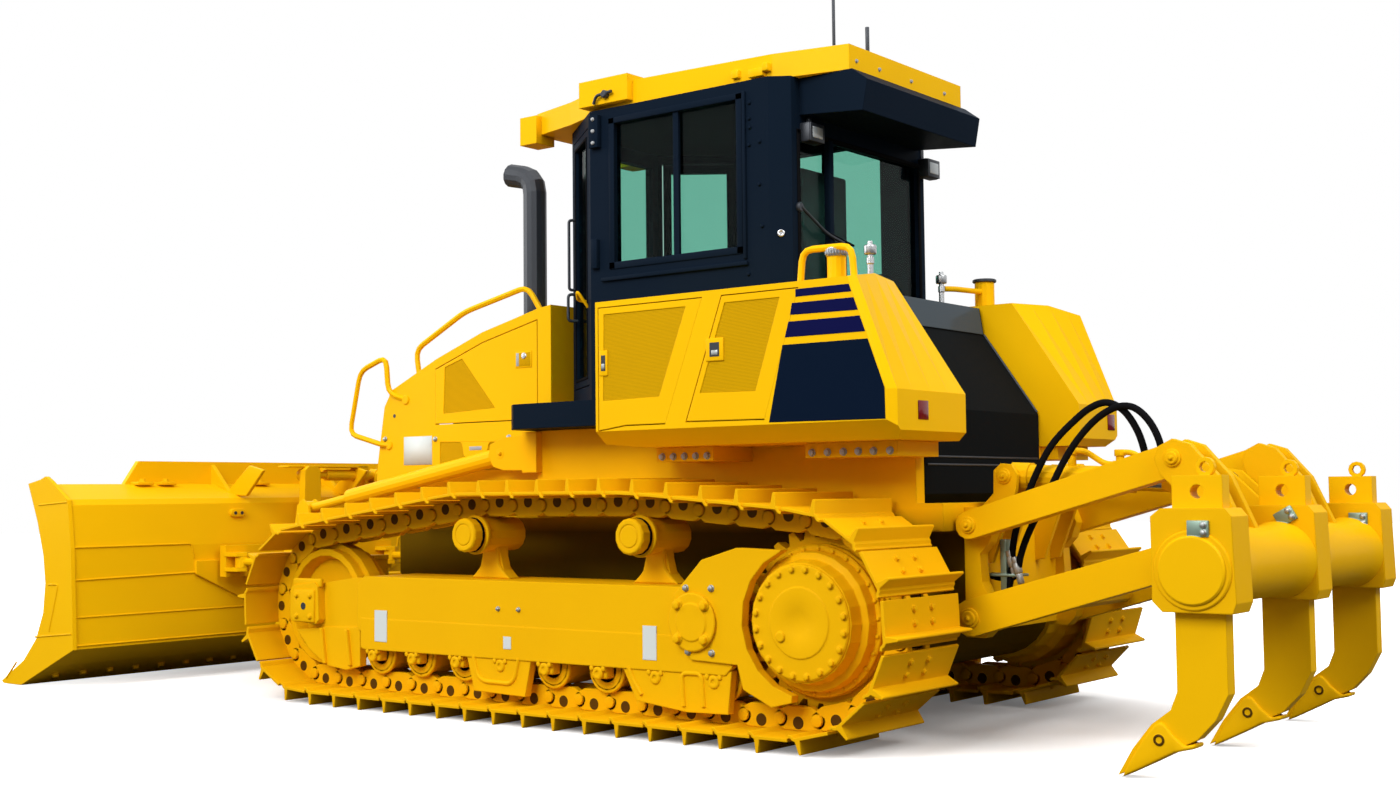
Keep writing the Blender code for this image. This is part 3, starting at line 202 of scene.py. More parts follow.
@dataclass(frozen=True)
class Finish:
    """A painted, bare or moulded surface.

    Attributes:
        name: the material's name.
        colour: the main colour, linear.
        second: the colour its broad patches lean to.
        roughness: the smoothest roughness.
        metallic: 0 for paint and 1 for bare metal.
        coat: the clear coat's weight.
        grain: the fine grain's scale.
        bump: the grain's height in metres.
        edge: the radius that soft edges are drawn with.
        punched: a pitch in metres where the sheet is punched with small holes.
        shine: the index that sets how strongly the bare surface mirrors.
        soot: the height below which the surface darkens with painted shade, or 0.
        soot_fade: how far below that height the painted shade is full.
        soot_shade: the share of the colour that the painted shade leaves.
        hole_shade: the share of the colour that is seen in a punched hole.
    """

    name: str
    colour: Point
    second: Point
    roughness: float = 0.35
    metallic: float = 0.0
    coat: float = 0.0
    grain: float = 60.0
    bump: float = 0.0002
    edge: float = 0.006
    punched: float = 0.0
    shine: float = 1.09
    soot: float = 0.0
    soot_fade: float = 0.12
    soot_shade: float = 0.16
    hole_shade: float = 0.45

    def darkened(self, tree: bpy.types.NodeTree, colour: bpy.types.NodeSocket,
                 factor: bpy.types.NodeSocket, share: float) -> bpy.types.NodeSocket:
        """A colour mixed with a darker share of the finish's own.

        Args:
            tree: the material's nodes.
            colour: the colour so far.
            factor: 1 where the darker one shows.
            share: how much of the finish's colour that one keeps.

        Returns:
            The mixed colour.
        """
        mixed = tree.nodes.new("ShaderNodeMix")
        mixed.data_type = "RGBA"
        mixed.inputs["B"].default_value = (*(c * share for c in self.colour), 1)
        tree.links.new(factor, mixed.inputs["Factor"])
        tree.links.new(colour, mixed.inputs["A"])
        return mixed.outputs["Result"]

    def material(self) -> bpy.types.Material:
        """The finish as a material, made the first time it is asked for."""
        made = bpy.data.materials.get(self.name)
        if made:
            return made
        made = bpy.data.materials.new(self.name)
        made.use_nodes = True
        nodes, links = made.node_tree.nodes, made.node_tree.links
        shader = nodes["Principled BSDF"]
        shader.inputs["Metallic"].default_value = self.metallic
        shader.inputs["IOR"].default_value = self.shine
        shader.inputs["Coat Weight"].default_value = self.coat
        shader.inputs["Coat Roughness"].default_value = 0.12
        wear = nodes.new("ShaderNodeGroup")
        wear.node_tree = Group.weathering()
        wear.inputs["Colour"].default_value = (*self.colour, 1)
        wear.inputs["Second"].default_value = (*self.second, 1)
        wear.inputs["Roughness"].default_value = self.roughness
        wear.inputs["Grain"].default_value = self.grain
        bump = nodes.new("ShaderNodeBump")
        bump.inputs["Distance"].default_value = self.bump
        bump.inputs["Strength"].default_value = 0.6
        links.new(wear.outputs["Roughness"], shader.inputs["Roughness"])
        if self.edge:
            soft = nodes.new("ShaderNodeBevel")
            soft.samples = 4
            soft.inputs["Radius"].default_value = self.edge
            links.new(soft.outputs["Normal"], bump.inputs["Normal"])
        links.new(wear.outputs["Height"], bump.inputs["Height"])
        links.new(bump.outputs["Normal"], shader.inputs["Normal"])
        colour = wear.outputs["Colour"]
        if self.punched:
            holes = nodes.new("ShaderNodeGroup")
            holes.node_tree = Group.punched()
            holes.inputs["Pitch"].default_value = self.punched
            colour = self.darkened(made.node_tree, colour, holes.outputs["Mask"], self.hole_shade)
        # Painted shade: below a set height the colour darkens, standing in for the shade that falls low
        # on the hull.
        if self.soot:
            place, split = nodes.new("ShaderNodeTexCoord"), nodes.new("ShaderNodeSeparateXYZ")
            low = nodes.new("ShaderNodeMapRange")
            low.inputs["From Min"].default_value = self.soot
            low.inputs["From Max"].default_value = self.soot - self.soot_fade
            links.new(place.outputs["Object"], split.inputs[0])
            links.new(split.outputs["Z"], low.inputs["Value"])
            colour = self.darkened(made.node_tree, colour, low.outputs["Result"], self.soot_shade)
        links.new(colour, shader.inputs["Base Color"])
        return made


@dataclass(frozen=True)
class Glazing:
    """Tinted window glass, so thin that it hardly bends what is behind it."""

    name: str = "cab_glass"
    tint: Point = (0.36, 0.64, 0.55)
    bending: float = 1.02
    coat: float = 0.15

    def material(self) -> bpy.types.Material:
        """The glass as a material, made the first time it is asked for."""
        made = bpy.data.materials.get(self.name)
        if made:
            return made
        made = bpy.data.materials.new(self.name)
        made.use_nodes = True
        shader = made.node_tree.nodes["Principled BSDF"]
        shader.inputs["Base Color"].default_value = (*self.tint, 1)
        shader.inputs["Roughness"].default_value = 0.0
        shader.inputs["Transmission Weight"].default_value = 1.0
        shader.inputs["IOR"].default_value = self.bending
        shader.inputs["Coat Weight"].default_value = self.coat
        return made


YELLOW = Finish("yellow_enamel", (0.84, 0.463, 0.002), (0.80, 0.427, 0.002), roughness=0.32,
                coat=0.02)
CAST_YELLOW = Finish("yellow_over_castings", (0.82, 0.440, 0.002), (0.76, 0.387, 0.002),
                     roughness=0.42, coat=0.01, grain=25.0, bump=0.0012, edge=0.008)
TRACK_YELLOW = Finish("yellow_over_steel", (0.80, 0.420, 0.002), (0.70, 0.35, 0.003),
                      roughness=0.45, coat=0.01, grain=40.0, bump=0.0006, edge=0.003)
# Dark grease on the bushings and tooth rings; on the links' outer faces the same finish stands as
# painted shade in their windows.
CHAIN = Finish("greased_links_and_painted_shade", (0.10, 0.045, 0.004), (0.03, 0.018, 0.008), roughness=0.45,
               metallic=0.2, grain=30.0, bump=0.0008, edge=0.002)
MESH_YELLOW = Finish("punched_yellow", (0.65, 0.352, 0.002), (0.61, 0.325, 0.002), roughness=0.45,
                     edge=0.001, punched=0.006, shine=1.06)
CAB_DARK = Finish("cab_blue_black", (0.004, 0.009, 0.018), (0.006, 0.011, 0.022), roughness=0.38,
                  shine=1.06)
BLACK = Finish("black_paint", (0.003, 0.004, 0.005), (0.006, 0.007, 0.008), roughness=0.4,
               shine=1.06)
RUBBER = Finish("black_rubber", (0.005, 0.005, 0.006), (0.009, 0.009, 0.010), roughness=0.6,
                shine=1.05)
NAVY = Finish("navy_stripe", (0.005, 0.006, 0.050), (0.006, 0.007, 0.055), shine=1.05)
PANEL = Finish("fender_dark_panel", (0.003, 0.008, 0.021), (0.004, 0.009, 0.024), roughness=0.38,
               shine=1.05)
FENDER_YELLOW = Finish("yellow_on_fenders", (0.84, 0.470, 0.002), (0.80, 0.435, 0.002),
                       roughness=0.34, coat=0.02, edge=0.0)
# The hull's yellow darkens below 1 m: painted shade where the hull's sides lie behind and under the
# tracks' upper runs.
HULL_YELLOW_PAINTED_SHADE = Finish("yellow_on_hull_painted_shade", (0.82, 0.440, 0.002), (0.76, 0.387, 0.002), roughness=0.42,
                     coat=0.01, grain=25.0, bump=0.0012, edge=0.008, soot=1.0)
CHROME = Finish("hard_chrome", (0.46, 0.47, 0.48), (0.40, 0.41, 0.42), roughness=0.20,
                metallic=1.0)
STEEL = Finish("plated_steel", (0.35, 0.37, 0.36), (0.28, 0.30, 0.30), metallic=0.9)
RED = Finish("red_reflector", (0.16, 0.004, 0.006), (0.12, 0.004, 0.006), roughness=0.2, coat=0.6)
LENS = Finish("lamp_lens", (0.42, 0.46, 0.48), (0.36, 0.40, 0.42), roughness=0.12, metallic=0.1,
              coat=0.6)
LABEL = Finish("blank_label", (0.62, 0.66, 0.64), (0.58, 0.62, 0.62), roughness=0.4, coat=0.2)
CLOTH = Finish("seat_cloth", (0.03, 0.03, 0.034), (0.045, 0.045, 0.05), roughness=0.8, grain=220.0,
               bump=0.0012, edge=0.01)
TANK = Finish("tank_blue_grey", (0.045, 0.062, 0.075), (0.055, 0.07, 0.085), coat=0.2)
TANK_DARK = Finish("tank_black", (0.006, 0.007, 0.0075), (0.009, 0.010, 0.011), roughness=0.45,
                   shine=1.04)
KEEPER = Finish("plated_keeper", (0.22, 0.30, 0.24), (0.17, 0.24, 0.22), metallic=0.6)
IRON = Finish("engine_grey", (0.20, 0.21, 0.22), (0.14, 0.14, 0.15), roughness=0.5, metallic=0.3)
GLASS = Glazing()


class Shop:
    """The modelling bench: each call makes one closed solid with Blender's own operators."""

    @staticmethod
    def clear() -> None:
        """Leave edit mode and deselect everything."""
        if bpy.context.mode != "OBJECT":
            bpy.ops.object.mode_set(mode="OBJECT")
        bpy.ops.object.select_all(action="DESELECT")

    @staticmethod
    def pick(obj: bpy.types.Object) -> None:
        """Make an object the only selected one and the active one."""
        Shop.clear()
        obj.select_set(True)
        bpy.context.view_layer.objects.active = obj

    @staticmethod
    def apply(obj: bpy.types.Object) -> bpy.types.Object:
        """Apply an object's modifiers and its place, and return it."""
        Shop.pick(obj)
        for modifier in list(obj.modifiers):
            bpy.ops.object.modifier_apply(modifier=modifier.name)
        bpy.ops.object.transform_apply(location=True, rotation=True, scale=True)
        obj.select_set(False)
        return obj

    @staticmethod
    def bevelled(obj: bpy.types.Object, width: float, segments: int = 1,
                 angle: float = SHARP) -> bpy.types.Object:
        """Round an object's sharp edges and return it.

        Args:
            obj: the solid.
            width: the bevel's width.
            segments: its segments.
            angle: edges sharper than this are rounded.

        Returns:
            The object.
        """
        if width > 0:
            step = obj.modifiers.new("soft_edges", "BEVEL")
            step.width, step.segments = width, segments
            step.limit_method, step.angle_limit = "ANGLE", math.radians(angle)
        return Shop.apply(obj)

    @staticmethod
    def block(name: str, low: Vector, high: Vector, bevel: float = 0.004,
              segments: int = 2) -> bpy.types.Object:
        """A block between two corners with rounded edges.

        Args:
            name: the object's name.
            low: one corner.
            high: the opposite corner.
            bevel: the edges' radius.
            segments: the segments of that radius.

        Returns:
            The block.
        """
        Shop.clear()
        bpy.ops.mesh.primitive_cube_add(size=1, location=(low + high) / 2)
        obj = bpy.context.active_object
        obj.name = name
        obj.scale = [abs(a - b) for a, b in zip(low, high)]
        Shop.apply(obj)
        return Shop.bevelled(obj, bevel, segments)

    @staticmethod
    def bar(name: str, start: Vector, end: Vector, radius: float, sides: int = 24,
            bevel: float = 0.003, radius_end: float | None = None) -> bpy.types.Object:
        """A round or hexagonal bar between two points.

        Args:
            name: the object's name.
            start: the middle of one end.
            end: the middle of the other.
            radius: its radius.
            sides: the sides of its section.
            bevel: the radius of its rims.
            radius_end: the radius at the other end, if it tapers.

        Returns:
            The bar.
        """
        Shop.clear()
        turn = (end - start).to_track_quat("Z", "Y").to_euler()
        bpy.ops.mesh.primitive_cone_add(
            vertices=sides, radius1=radius, radius2=radius if radius_end is None else radius_end,
            depth=(end - start).length, location=(start + end) / 2, rotation=turn)
        obj = bpy.context.active_object
        obj.name = name
        return Shop.bevelled(obj, bevel, 2, ROUND_RIM if sides > 8 else SHARP)

    @staticmethod
    def outline(name: str, points: Sequence[Vector], closed: bool = True) -> bpy.types.Object:
        """A run of edges drawn point by point.

        Args:
            name: the object's name.
            points: the run's points.
            closed: whether its last point joins its first.

        Returns:
            The wire object, left in edit mode with all of it selected.
        """
        Shop.clear()
        bpy.ops.mesh.primitive_plane_add(size=1)
        obj = bpy.context.active_object
        obj.name = name
        bpy.ops.object.mode_set(mode="EDIT")
        bpy.ops.mesh.select_all(action="SELECT")
        bpy.ops.mesh.merge(type="CENTER")
        bpy.ops.transform.translate(value=points[0])
        for before, here in zip(points, points[1:]):
            bpy.ops.mesh.extrude_region_move(TRANSFORM_OT_translate={"value": here - before})
        bpy.ops.mesh.select_all(action="SELECT")
        if closed:
            bpy.ops.mesh.edge_face_add()
        return obj

    @staticmethod
    def plate(name: str, points: Sequence[Vector], thickness: Vector, bevel: float = 0.003,
              segments: int = 1) -> bpy.types.Object:
        """A flat outline given thickness.

        Args:
            name: the object's name.
            points: its corners in order.
            thickness: which way and how far it is thickened.
            bevel: the edges' radius.
            segments: the segments of that radius.

        Returns:
            The plate.
        """
        obj = Shop.outline(name, points)
        bpy.ops.mesh.extrude_region_move(TRANSFORM_OT_translate={"value": thickness})
        bpy.ops.mesh.select_all(action="SELECT")
        bpy.ops.mesh.normals_make_consistent(inside=False)
        bpy.ops.object.mode_set(mode="OBJECT")
        return Shop.bevelled(obj, bevel, segments)

    @staticmethod
    def lathe(name: str, profile: Sequence[Pair], origin: Vector, axis: Vector,
              steps: int = 48) -> bpy.types.Object:
        """A profile of (radius, distance along) turned about an axis.

        Args:
            name: the object's name.
            profile: the section, from the axis and back to it.
            origin: where distances along start.
            axis: the axis's direction.
            steps: the steps of a full turn.

        Returns:
            The turned solid.
        """
        obj = Shop.outline(name, [Vector((r, 0, h)) for r, h in profile], closed=False)
        bpy.ops.mesh.spin(steps=steps, angle=math.tau, center=(0, 0, 0), axis=(0, 0, 1))
        bpy.ops.mesh.select_all(action="SELECT")
        bpy.ops.mesh.remove_doubles(threshold=1e-5)
        bpy.ops.mesh.normals_make_consistent(inside=False)
        bpy.ops.object.mode_set(mode="OBJECT")
        turn = axis.to_track_quat("Z", "Y").to_matrix().to_4x4()
        obj.data.transform(Matrix.Translation(origin) @ turn)
        return Shop.apply(obj)

    @staticmethod
    def tube(name: str, path: Sequence[Vector], radius: float, sides: int) -> bpy.types.Object:
        """A round curve with closed ends along a path.

        Args:
            name: the object's name.
            path: its points.
            radius: its radius.
            sides: the resolution of its section.

        Returns:
            The curve object.
        """
        curve = bpy.data.curves.new(name, "CURVE")
        curve.dimensions, curve.use_fill_caps = "3D", True
        curve.bevel_depth, curve.bevel_resolution = radius, sides
        spline = curve.splines.new("POLY")
        spline.points.add(len(path) - 1)
        for point, co in zip(spline.points, path):
            point.co = (*co, 1)
        obj = bpy.data.objects.new(name, curve)
        bpy.context.scene.collection.objects.link(obj)
        return obj

    @staticmethod
    def pipe(name: str, points: Sequence[Vector], radius: float, bend: float = 0.05,
             steps: int = 6, sides: int = 4) -> bpy.types.Object:
        """A round tube along straight runs with rounded corners.

        Args:
            name: the object's name.
            points: the corners of its route.
            radius: its radius.
            bend: how far before a corner the bend starts.
            steps: the steps of a bend.
            sides: the resolution of its section.

        Returns:
            The tube.
        """
        path = [points[0]]
        for before, corner, after in zip(points, points[1:], points[2:]):
            into, out = corner - before, after - corner
            reach = min(bend, into.length / 2.2, out.length / 2.2)
            first, last = corner - into.normalized() * reach, corner + out.normalized() * reach
            for step in range(steps + 1):
                t = step / steps
                path.append(first * (1 - t) ** 2 + corner * 2 * t * (1 - t) + last * t * t)
        path.append(points[-1])
        Shop.pick(Shop.tube(name, path, radius, sides))
        bpy.ops.object.convert(target="MESH")
        return bpy.context.active_object

    @staticmethod
    def copies(source: bpy.types.Object, places: Iterable[Matrix]) -> Pieces:
        """Copies of a finished solid, each with its own mesh; the source is used up.

        Args:
            source: the solid that repeats.
            places: one matrix for each copy.

        Returns:
            The copies.
        """
        made = []
        for number, place in enumerate(places):
            obj = source.copy()
            obj.data = source.data.copy()
            obj.data.transform(place)
            if place.determinant() < 0:
                obj.data.flip_normals()
            obj.name = f"{source.name}_{number}"
            bpy.context.scene.collection.objects.link(obj)
            made.append(obj)
        bpy.data.objects.remove(source)
        return made

    @staticmethod
    def join(name: str, objs: Sequence[bpy.types.Object]) -> bpy.types.Object:
        """Several solids made one object.

        Args:
            name: the new object's name.
            objs: the solids.

        Returns:
            The joined object.
        """
        Shop.clear()
        for obj in objs:
            obj.select_set(True)
        bpy.context.view_layer.objects.active = objs[0]
        if len(objs) > 1:
            bpy.ops.object.join()
        objs[0].name = name
        objs[0].select_set(False)
        return objs[0]

    @staticmethod
    def dress(obj: bpy.types.Object, finish: Finish | Glazing) -> bpy.types.Object:
        """Give a solid its finish and shade it smooth but for its sharp edges."""
        obj.data.materials.clear()
        obj.data.materials.append(finish.material())
        Shop.pick(obj)
        bpy.ops.object.shade_smooth_by_angle(angle=math.radians(SMOOTH))
        obj.select_set(False)
        return obj

    @staticmethod
    def fit(name: str, objs: Sequence[bpy.types.Object], body: str,
            replaces: Sequence[str] = ()) -> bpy.types.Object:
        """Join dressed solids into one piece that rides with a body.

        Args:
            name: the piece's name.
            objs: the dressed solids.
            body: the body that it moves with.
            replaces: nodes that it stands for.

        Returns:
            The piece.
        """
        piece = Shop.join(name, objs)
        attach(piece, body)
        if replaces:
            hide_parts(*replaces)
        LOG.info("fitted %s on %s, %d faces", name, body, len(piece.data.polygons))
        return piece

    @staticmethod
    def bolts(name: str, heads: Iterable[tuple[Vector, Vector]], size: float = 0.012,
              finish: Finish = YELLOW) -> Pieces:
        """Hexagonal bolt heads on washers.

        Args:
            name: what the bolts are called.
            heads: for each, its seat and the way that it points.
            size: half the width across its corners.
            finish: its finish.

        Returns:
            The dressed bolts.
        """
        washer = Shop.bar(f"{name}_washer", Vector((0, 0, -0.002)), Vector((0, 0, size * 0.25)),
                          size * 1.25, 16, size * 0.08)
        head = Shop.bar(f"{name}_head", Vector((0, 0, 0)), Vector((0, 0, size)), size, 6,
                        size * 0.12)
        bolt = Shop.dress(Shop.join(name, [washer, head]), finish)
        return Shop.copies(bolt, [
            Matrix.Translation(seat) @ way.to_track_quat("Z", "Y").to_matrix().to_4x4()
            for seat, way in heads])


def arc(centre: Pair, radius: float, first: float, last: float, steps: int) -> list[Pair]:
    """Points on a circle between two angles in degrees, both ends included."""
    turns = [math.radians(first + (last - first) * step / steps) for step in range(steps + 1)]
    return [(centre[0] + radius * math.cos(t), centre[1] + radius * math.sin(t)) for t in turns]


@dataclass
class Studio:
    """The pale floor, the soft lights and the camera at the photograph's place."""

    eye: Point = (6.825, 3.898, 1.068)
    yaw: float = 217.864
    pitch: float = 3.4326
    roll: float = -0.6055
    lens: float = 42.48
    sensor: float = 36.0
    far: float = 200.0
    floor_size: float = 90.0
    surround: float = 0.36

    def camera(self) -> None:
        """Put the camera where the photograph was taken from."""
        yaw, pitch, roll = (math.radians(v) for v in (self.yaw, self.pitch, self.roll))
        ahead = Vector((math.cos(yaw) * math.cos(pitch), math.sin(yaw) * math.cos(pitch),
                        math.sin(pitch)))
        level = Vector((math.sin(yaw), -math.cos(yaw), 0))
        up = level.cross(ahead)
        right = level * math.cos(roll) + up * math.sin(roll)
        top = up * math.cos(roll) - level * math.sin(roll)
        data = bpy.data.cameras.new("photo_camera")
        data.lens, data.sensor_width, data.clip_end = self.lens, self.sensor, self.far
        obj = bpy.data.objects.new("photo_camera", data)
        turn = Matrix((right, top, -ahead)).transposed().to_4x4()
        obj.matrix_world = Matrix.Translation(at(*self.eye)) @ turn
        bpy.context.scene.collection.objects.link(obj)
        bpy.context.scene.camera = obj

    def floor(self) -> None:
        """A white floor that keeps the machine's soft shadow."""
        Shop.clear()
        bpy.ops.mesh.primitive_plane_add(size=self.floor_size)
        ground = bpy.context.active_object
        ground.name = "studio_floor"
        made = bpy.data.materials.new("studio_white")
        made.use_nodes = True
        nodes, links = made.node_tree.nodes, made.node_tree.links
        shader, place = nodes["Principled BSDF"], nodes.new("ShaderNodeTexCoord")
        far, reach = nodes.new("ShaderNodeVectorMath"), nodes.new("ShaderNodeMapRange")
        paths, dull, mix = (nodes.new(f"ShaderNode{kind}")
                            for kind in ("LightPath", "BsdfDiffuse", "MixShader"))
        shader.inputs["Base Color"].default_value = (0.92, 0.92, 0.92, 1)
        shader.inputs["Roughness"].default_value = 0.9
        shader.inputs["Specular IOR Level"].default_value = 0.0
        shader.inputs["Emission Color"].default_value = (1, 1, 1, 1)
        dull.inputs["Color"].default_value = (0.13, 0.13, 0.13, 1)
        far.operation, reach.interpolation_type = "LENGTH", "SMOOTHSTEP"
        for name, value in (("From Min", 1.1), ("From Max", 2.7), ("To Min", 0.10), ("To Max", 1.0)):
            reach.inputs[name].default_value = value
        squeeze = nodes.new("ShaderNodeVectorMath")
        squeeze.operation = "MULTIPLY"
        squeeze.inputs[1].default_value = (1.0, 0.55, 0.0)
        links.new(place.outputs["Object"], squeeze.inputs[0])
        links.new(squeeze.outputs[0], far.inputs[0])
        links.new(far.outputs["Value"], reach.inputs["Value"])
        links.new(reach.outputs["Result"], shader.inputs["Emission Strength"])
        links.new(paths.outputs["Is Camera Ray"], mix.inputs["Fac"])
        links.new(dull.outputs[0], mix.inputs[1])
        links.new(shader.outputs[0], mix.inputs[2])
        links.new(mix.outputs[0], nodes["Material Output"].inputs["Surface"])
        ground.data.materials.append(made)

    def lamp(self, name: str, place: Point, aim: Point, size: float, power: float) -> None:
        """A soft square lamp.

        Args:
            name: the lamp's name.
            place: where it hangs.
            aim: what it points at.
            size: the length of its side.
            power: its power in watts.
        """
        data = bpy.data.lights.new(name, "AREA")
        data.shape, data.size, data.energy = "SQUARE", size, power
        obj = bpy.data.objects.new(name, data)
        obj.location = place
        obj.rotation_euler = (Vector(aim) - Vector(place)).to_track_quat("-Z", "Y").to_euler()
        bpy.context.scene.collection.objects.link(obj)

    def light(self) -> None:
        """Soft light from above and from the camera's side, and a white surround."""
        self.lamp("key", (10.5, 0.5, 8.0), (0, -0.5, 1), 7.0, 1370)
        self.lamp("front_fill", (4.0, -9.0, 5.0), (0, 0, 1), 7.0, 450)
        self.lamp("rear_fill", (1.5, 10.0, 8.0), (0, 0, 1.5), 6.0, 820)
        self.lamp("top", (0.0, 0.5, 11.0), (0, 0, 0), 8.0, 330)
        world = bpy.data.worlds.new("surround")
        bpy.context.scene.world = world
        world.use_nodes = True
        nodes, links = world.node_tree.nodes, world.node_tree.links
        paths = nodes.new("ShaderNodeLightPath")
        seen, plain = nodes.new("ShaderNodeMath"), nodes["Background"]
        both = nodes.new("ShaderNodeMath")
        seen.operation, both.operation = "MAXIMUM", "MAXIMUM"
        white, mix = nodes.new("ShaderNodeBackground"), nodes.new("ShaderNodeMixShader")
        plain.inputs["Color"].default_value = (1, 1, 1, 1)
        plain.inputs["Strength"].default_value = self.surround
        white.inputs["Color"].default_value = (1, 1, 1, 1)
        white.inputs["Strength"].default_value = 1.0
        links.new(paths.outputs["Is Camera Ray"], seen.inputs[0])
        links.new(paths.outputs["Is Glossy Ray"], seen.inputs[1])
        links.new(seen.outputs[0], both.inputs[0])
        links.new(paths.outputs["Is Transmission Ray"], both.inputs[1])
        links.new(both.outputs[0], mix.inputs["Fac"])
        links.new(plain.outputs[0], mix.inputs[1])
        links.new(white.outputs[0], mix.inputs[2])
        links.new(mix.outputs[0], nodes["World Output"].inputs["Surface"])
        bpy.context.scene.view_settings.view_transform = "Standard"

    def build(self) -> None:
        """Set up the whole studio."""
        self.camera()
        self.floor()
        self.light()


@dataclass
class Coat:
    """The finishes of the nodes that are shown as they are."""

    finishes: dict[str, Finish | Glazing] = field(default_factory=lambda: {
        "engine": IRON, "exhaust": BLACK, "cab_frame": CAB_DARK, "windscreen": GLASS,
        "rear_window": GLASS, "side_window_left": GLASS, "side_window_right": GLASS,
        "cab_door_left": CAB_DARK, "cab_door_right": CAB_DARK, "door_glass_left": GLASS,
        "door_glass_right": GLASS, "operator_station": CLOTH, "rear_tank": TANK_DARK,
        "track_left": TRACK_YELLOW, "track_right": TRACK_YELLOW, "idler_left": CAST_YELLOW,
        "idler_right": CAST_YELLOW, "final_drive_left": CAST_YELLOW,
        "final_drive_right": CAST_YELLOW, "ripper_beam": CAST_YELLOW,
        "fender_left": FENDER_YELLOW, "fender_right": FENDER_YELLOW, "main_frame": HULL_YELLOW_PAINTED_SHADE,
        "track_frame_left": CAST_YELLOW, "track_frame_right": CAST_YELLOW,
    })

    def build(self) -> None:
        """Give every node its finish."""
        for name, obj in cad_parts.items():
            finish = self.finishes.get(name, CHROME if "ripper_rod" in name else YELLOW)
            target = obj if isinstance(obj, bpy.types.Object) else bpy.data.objects[name]
            target.data.materials.clear()
            target.data.materials.append(finish.material())


@dataclass
class OneSide:
    """Pieces that stand on one side of the machine."""

    side: Side

    def place(self, x: float, y: float, z: float) -> Vector:
        """A point on this side of the machine."""
        return at(self.side.value * x, y, z)

    @property
    def out(self) -> Vector:
        """The way out of this side."""
        return Vector((self.side.value, 0, 0))


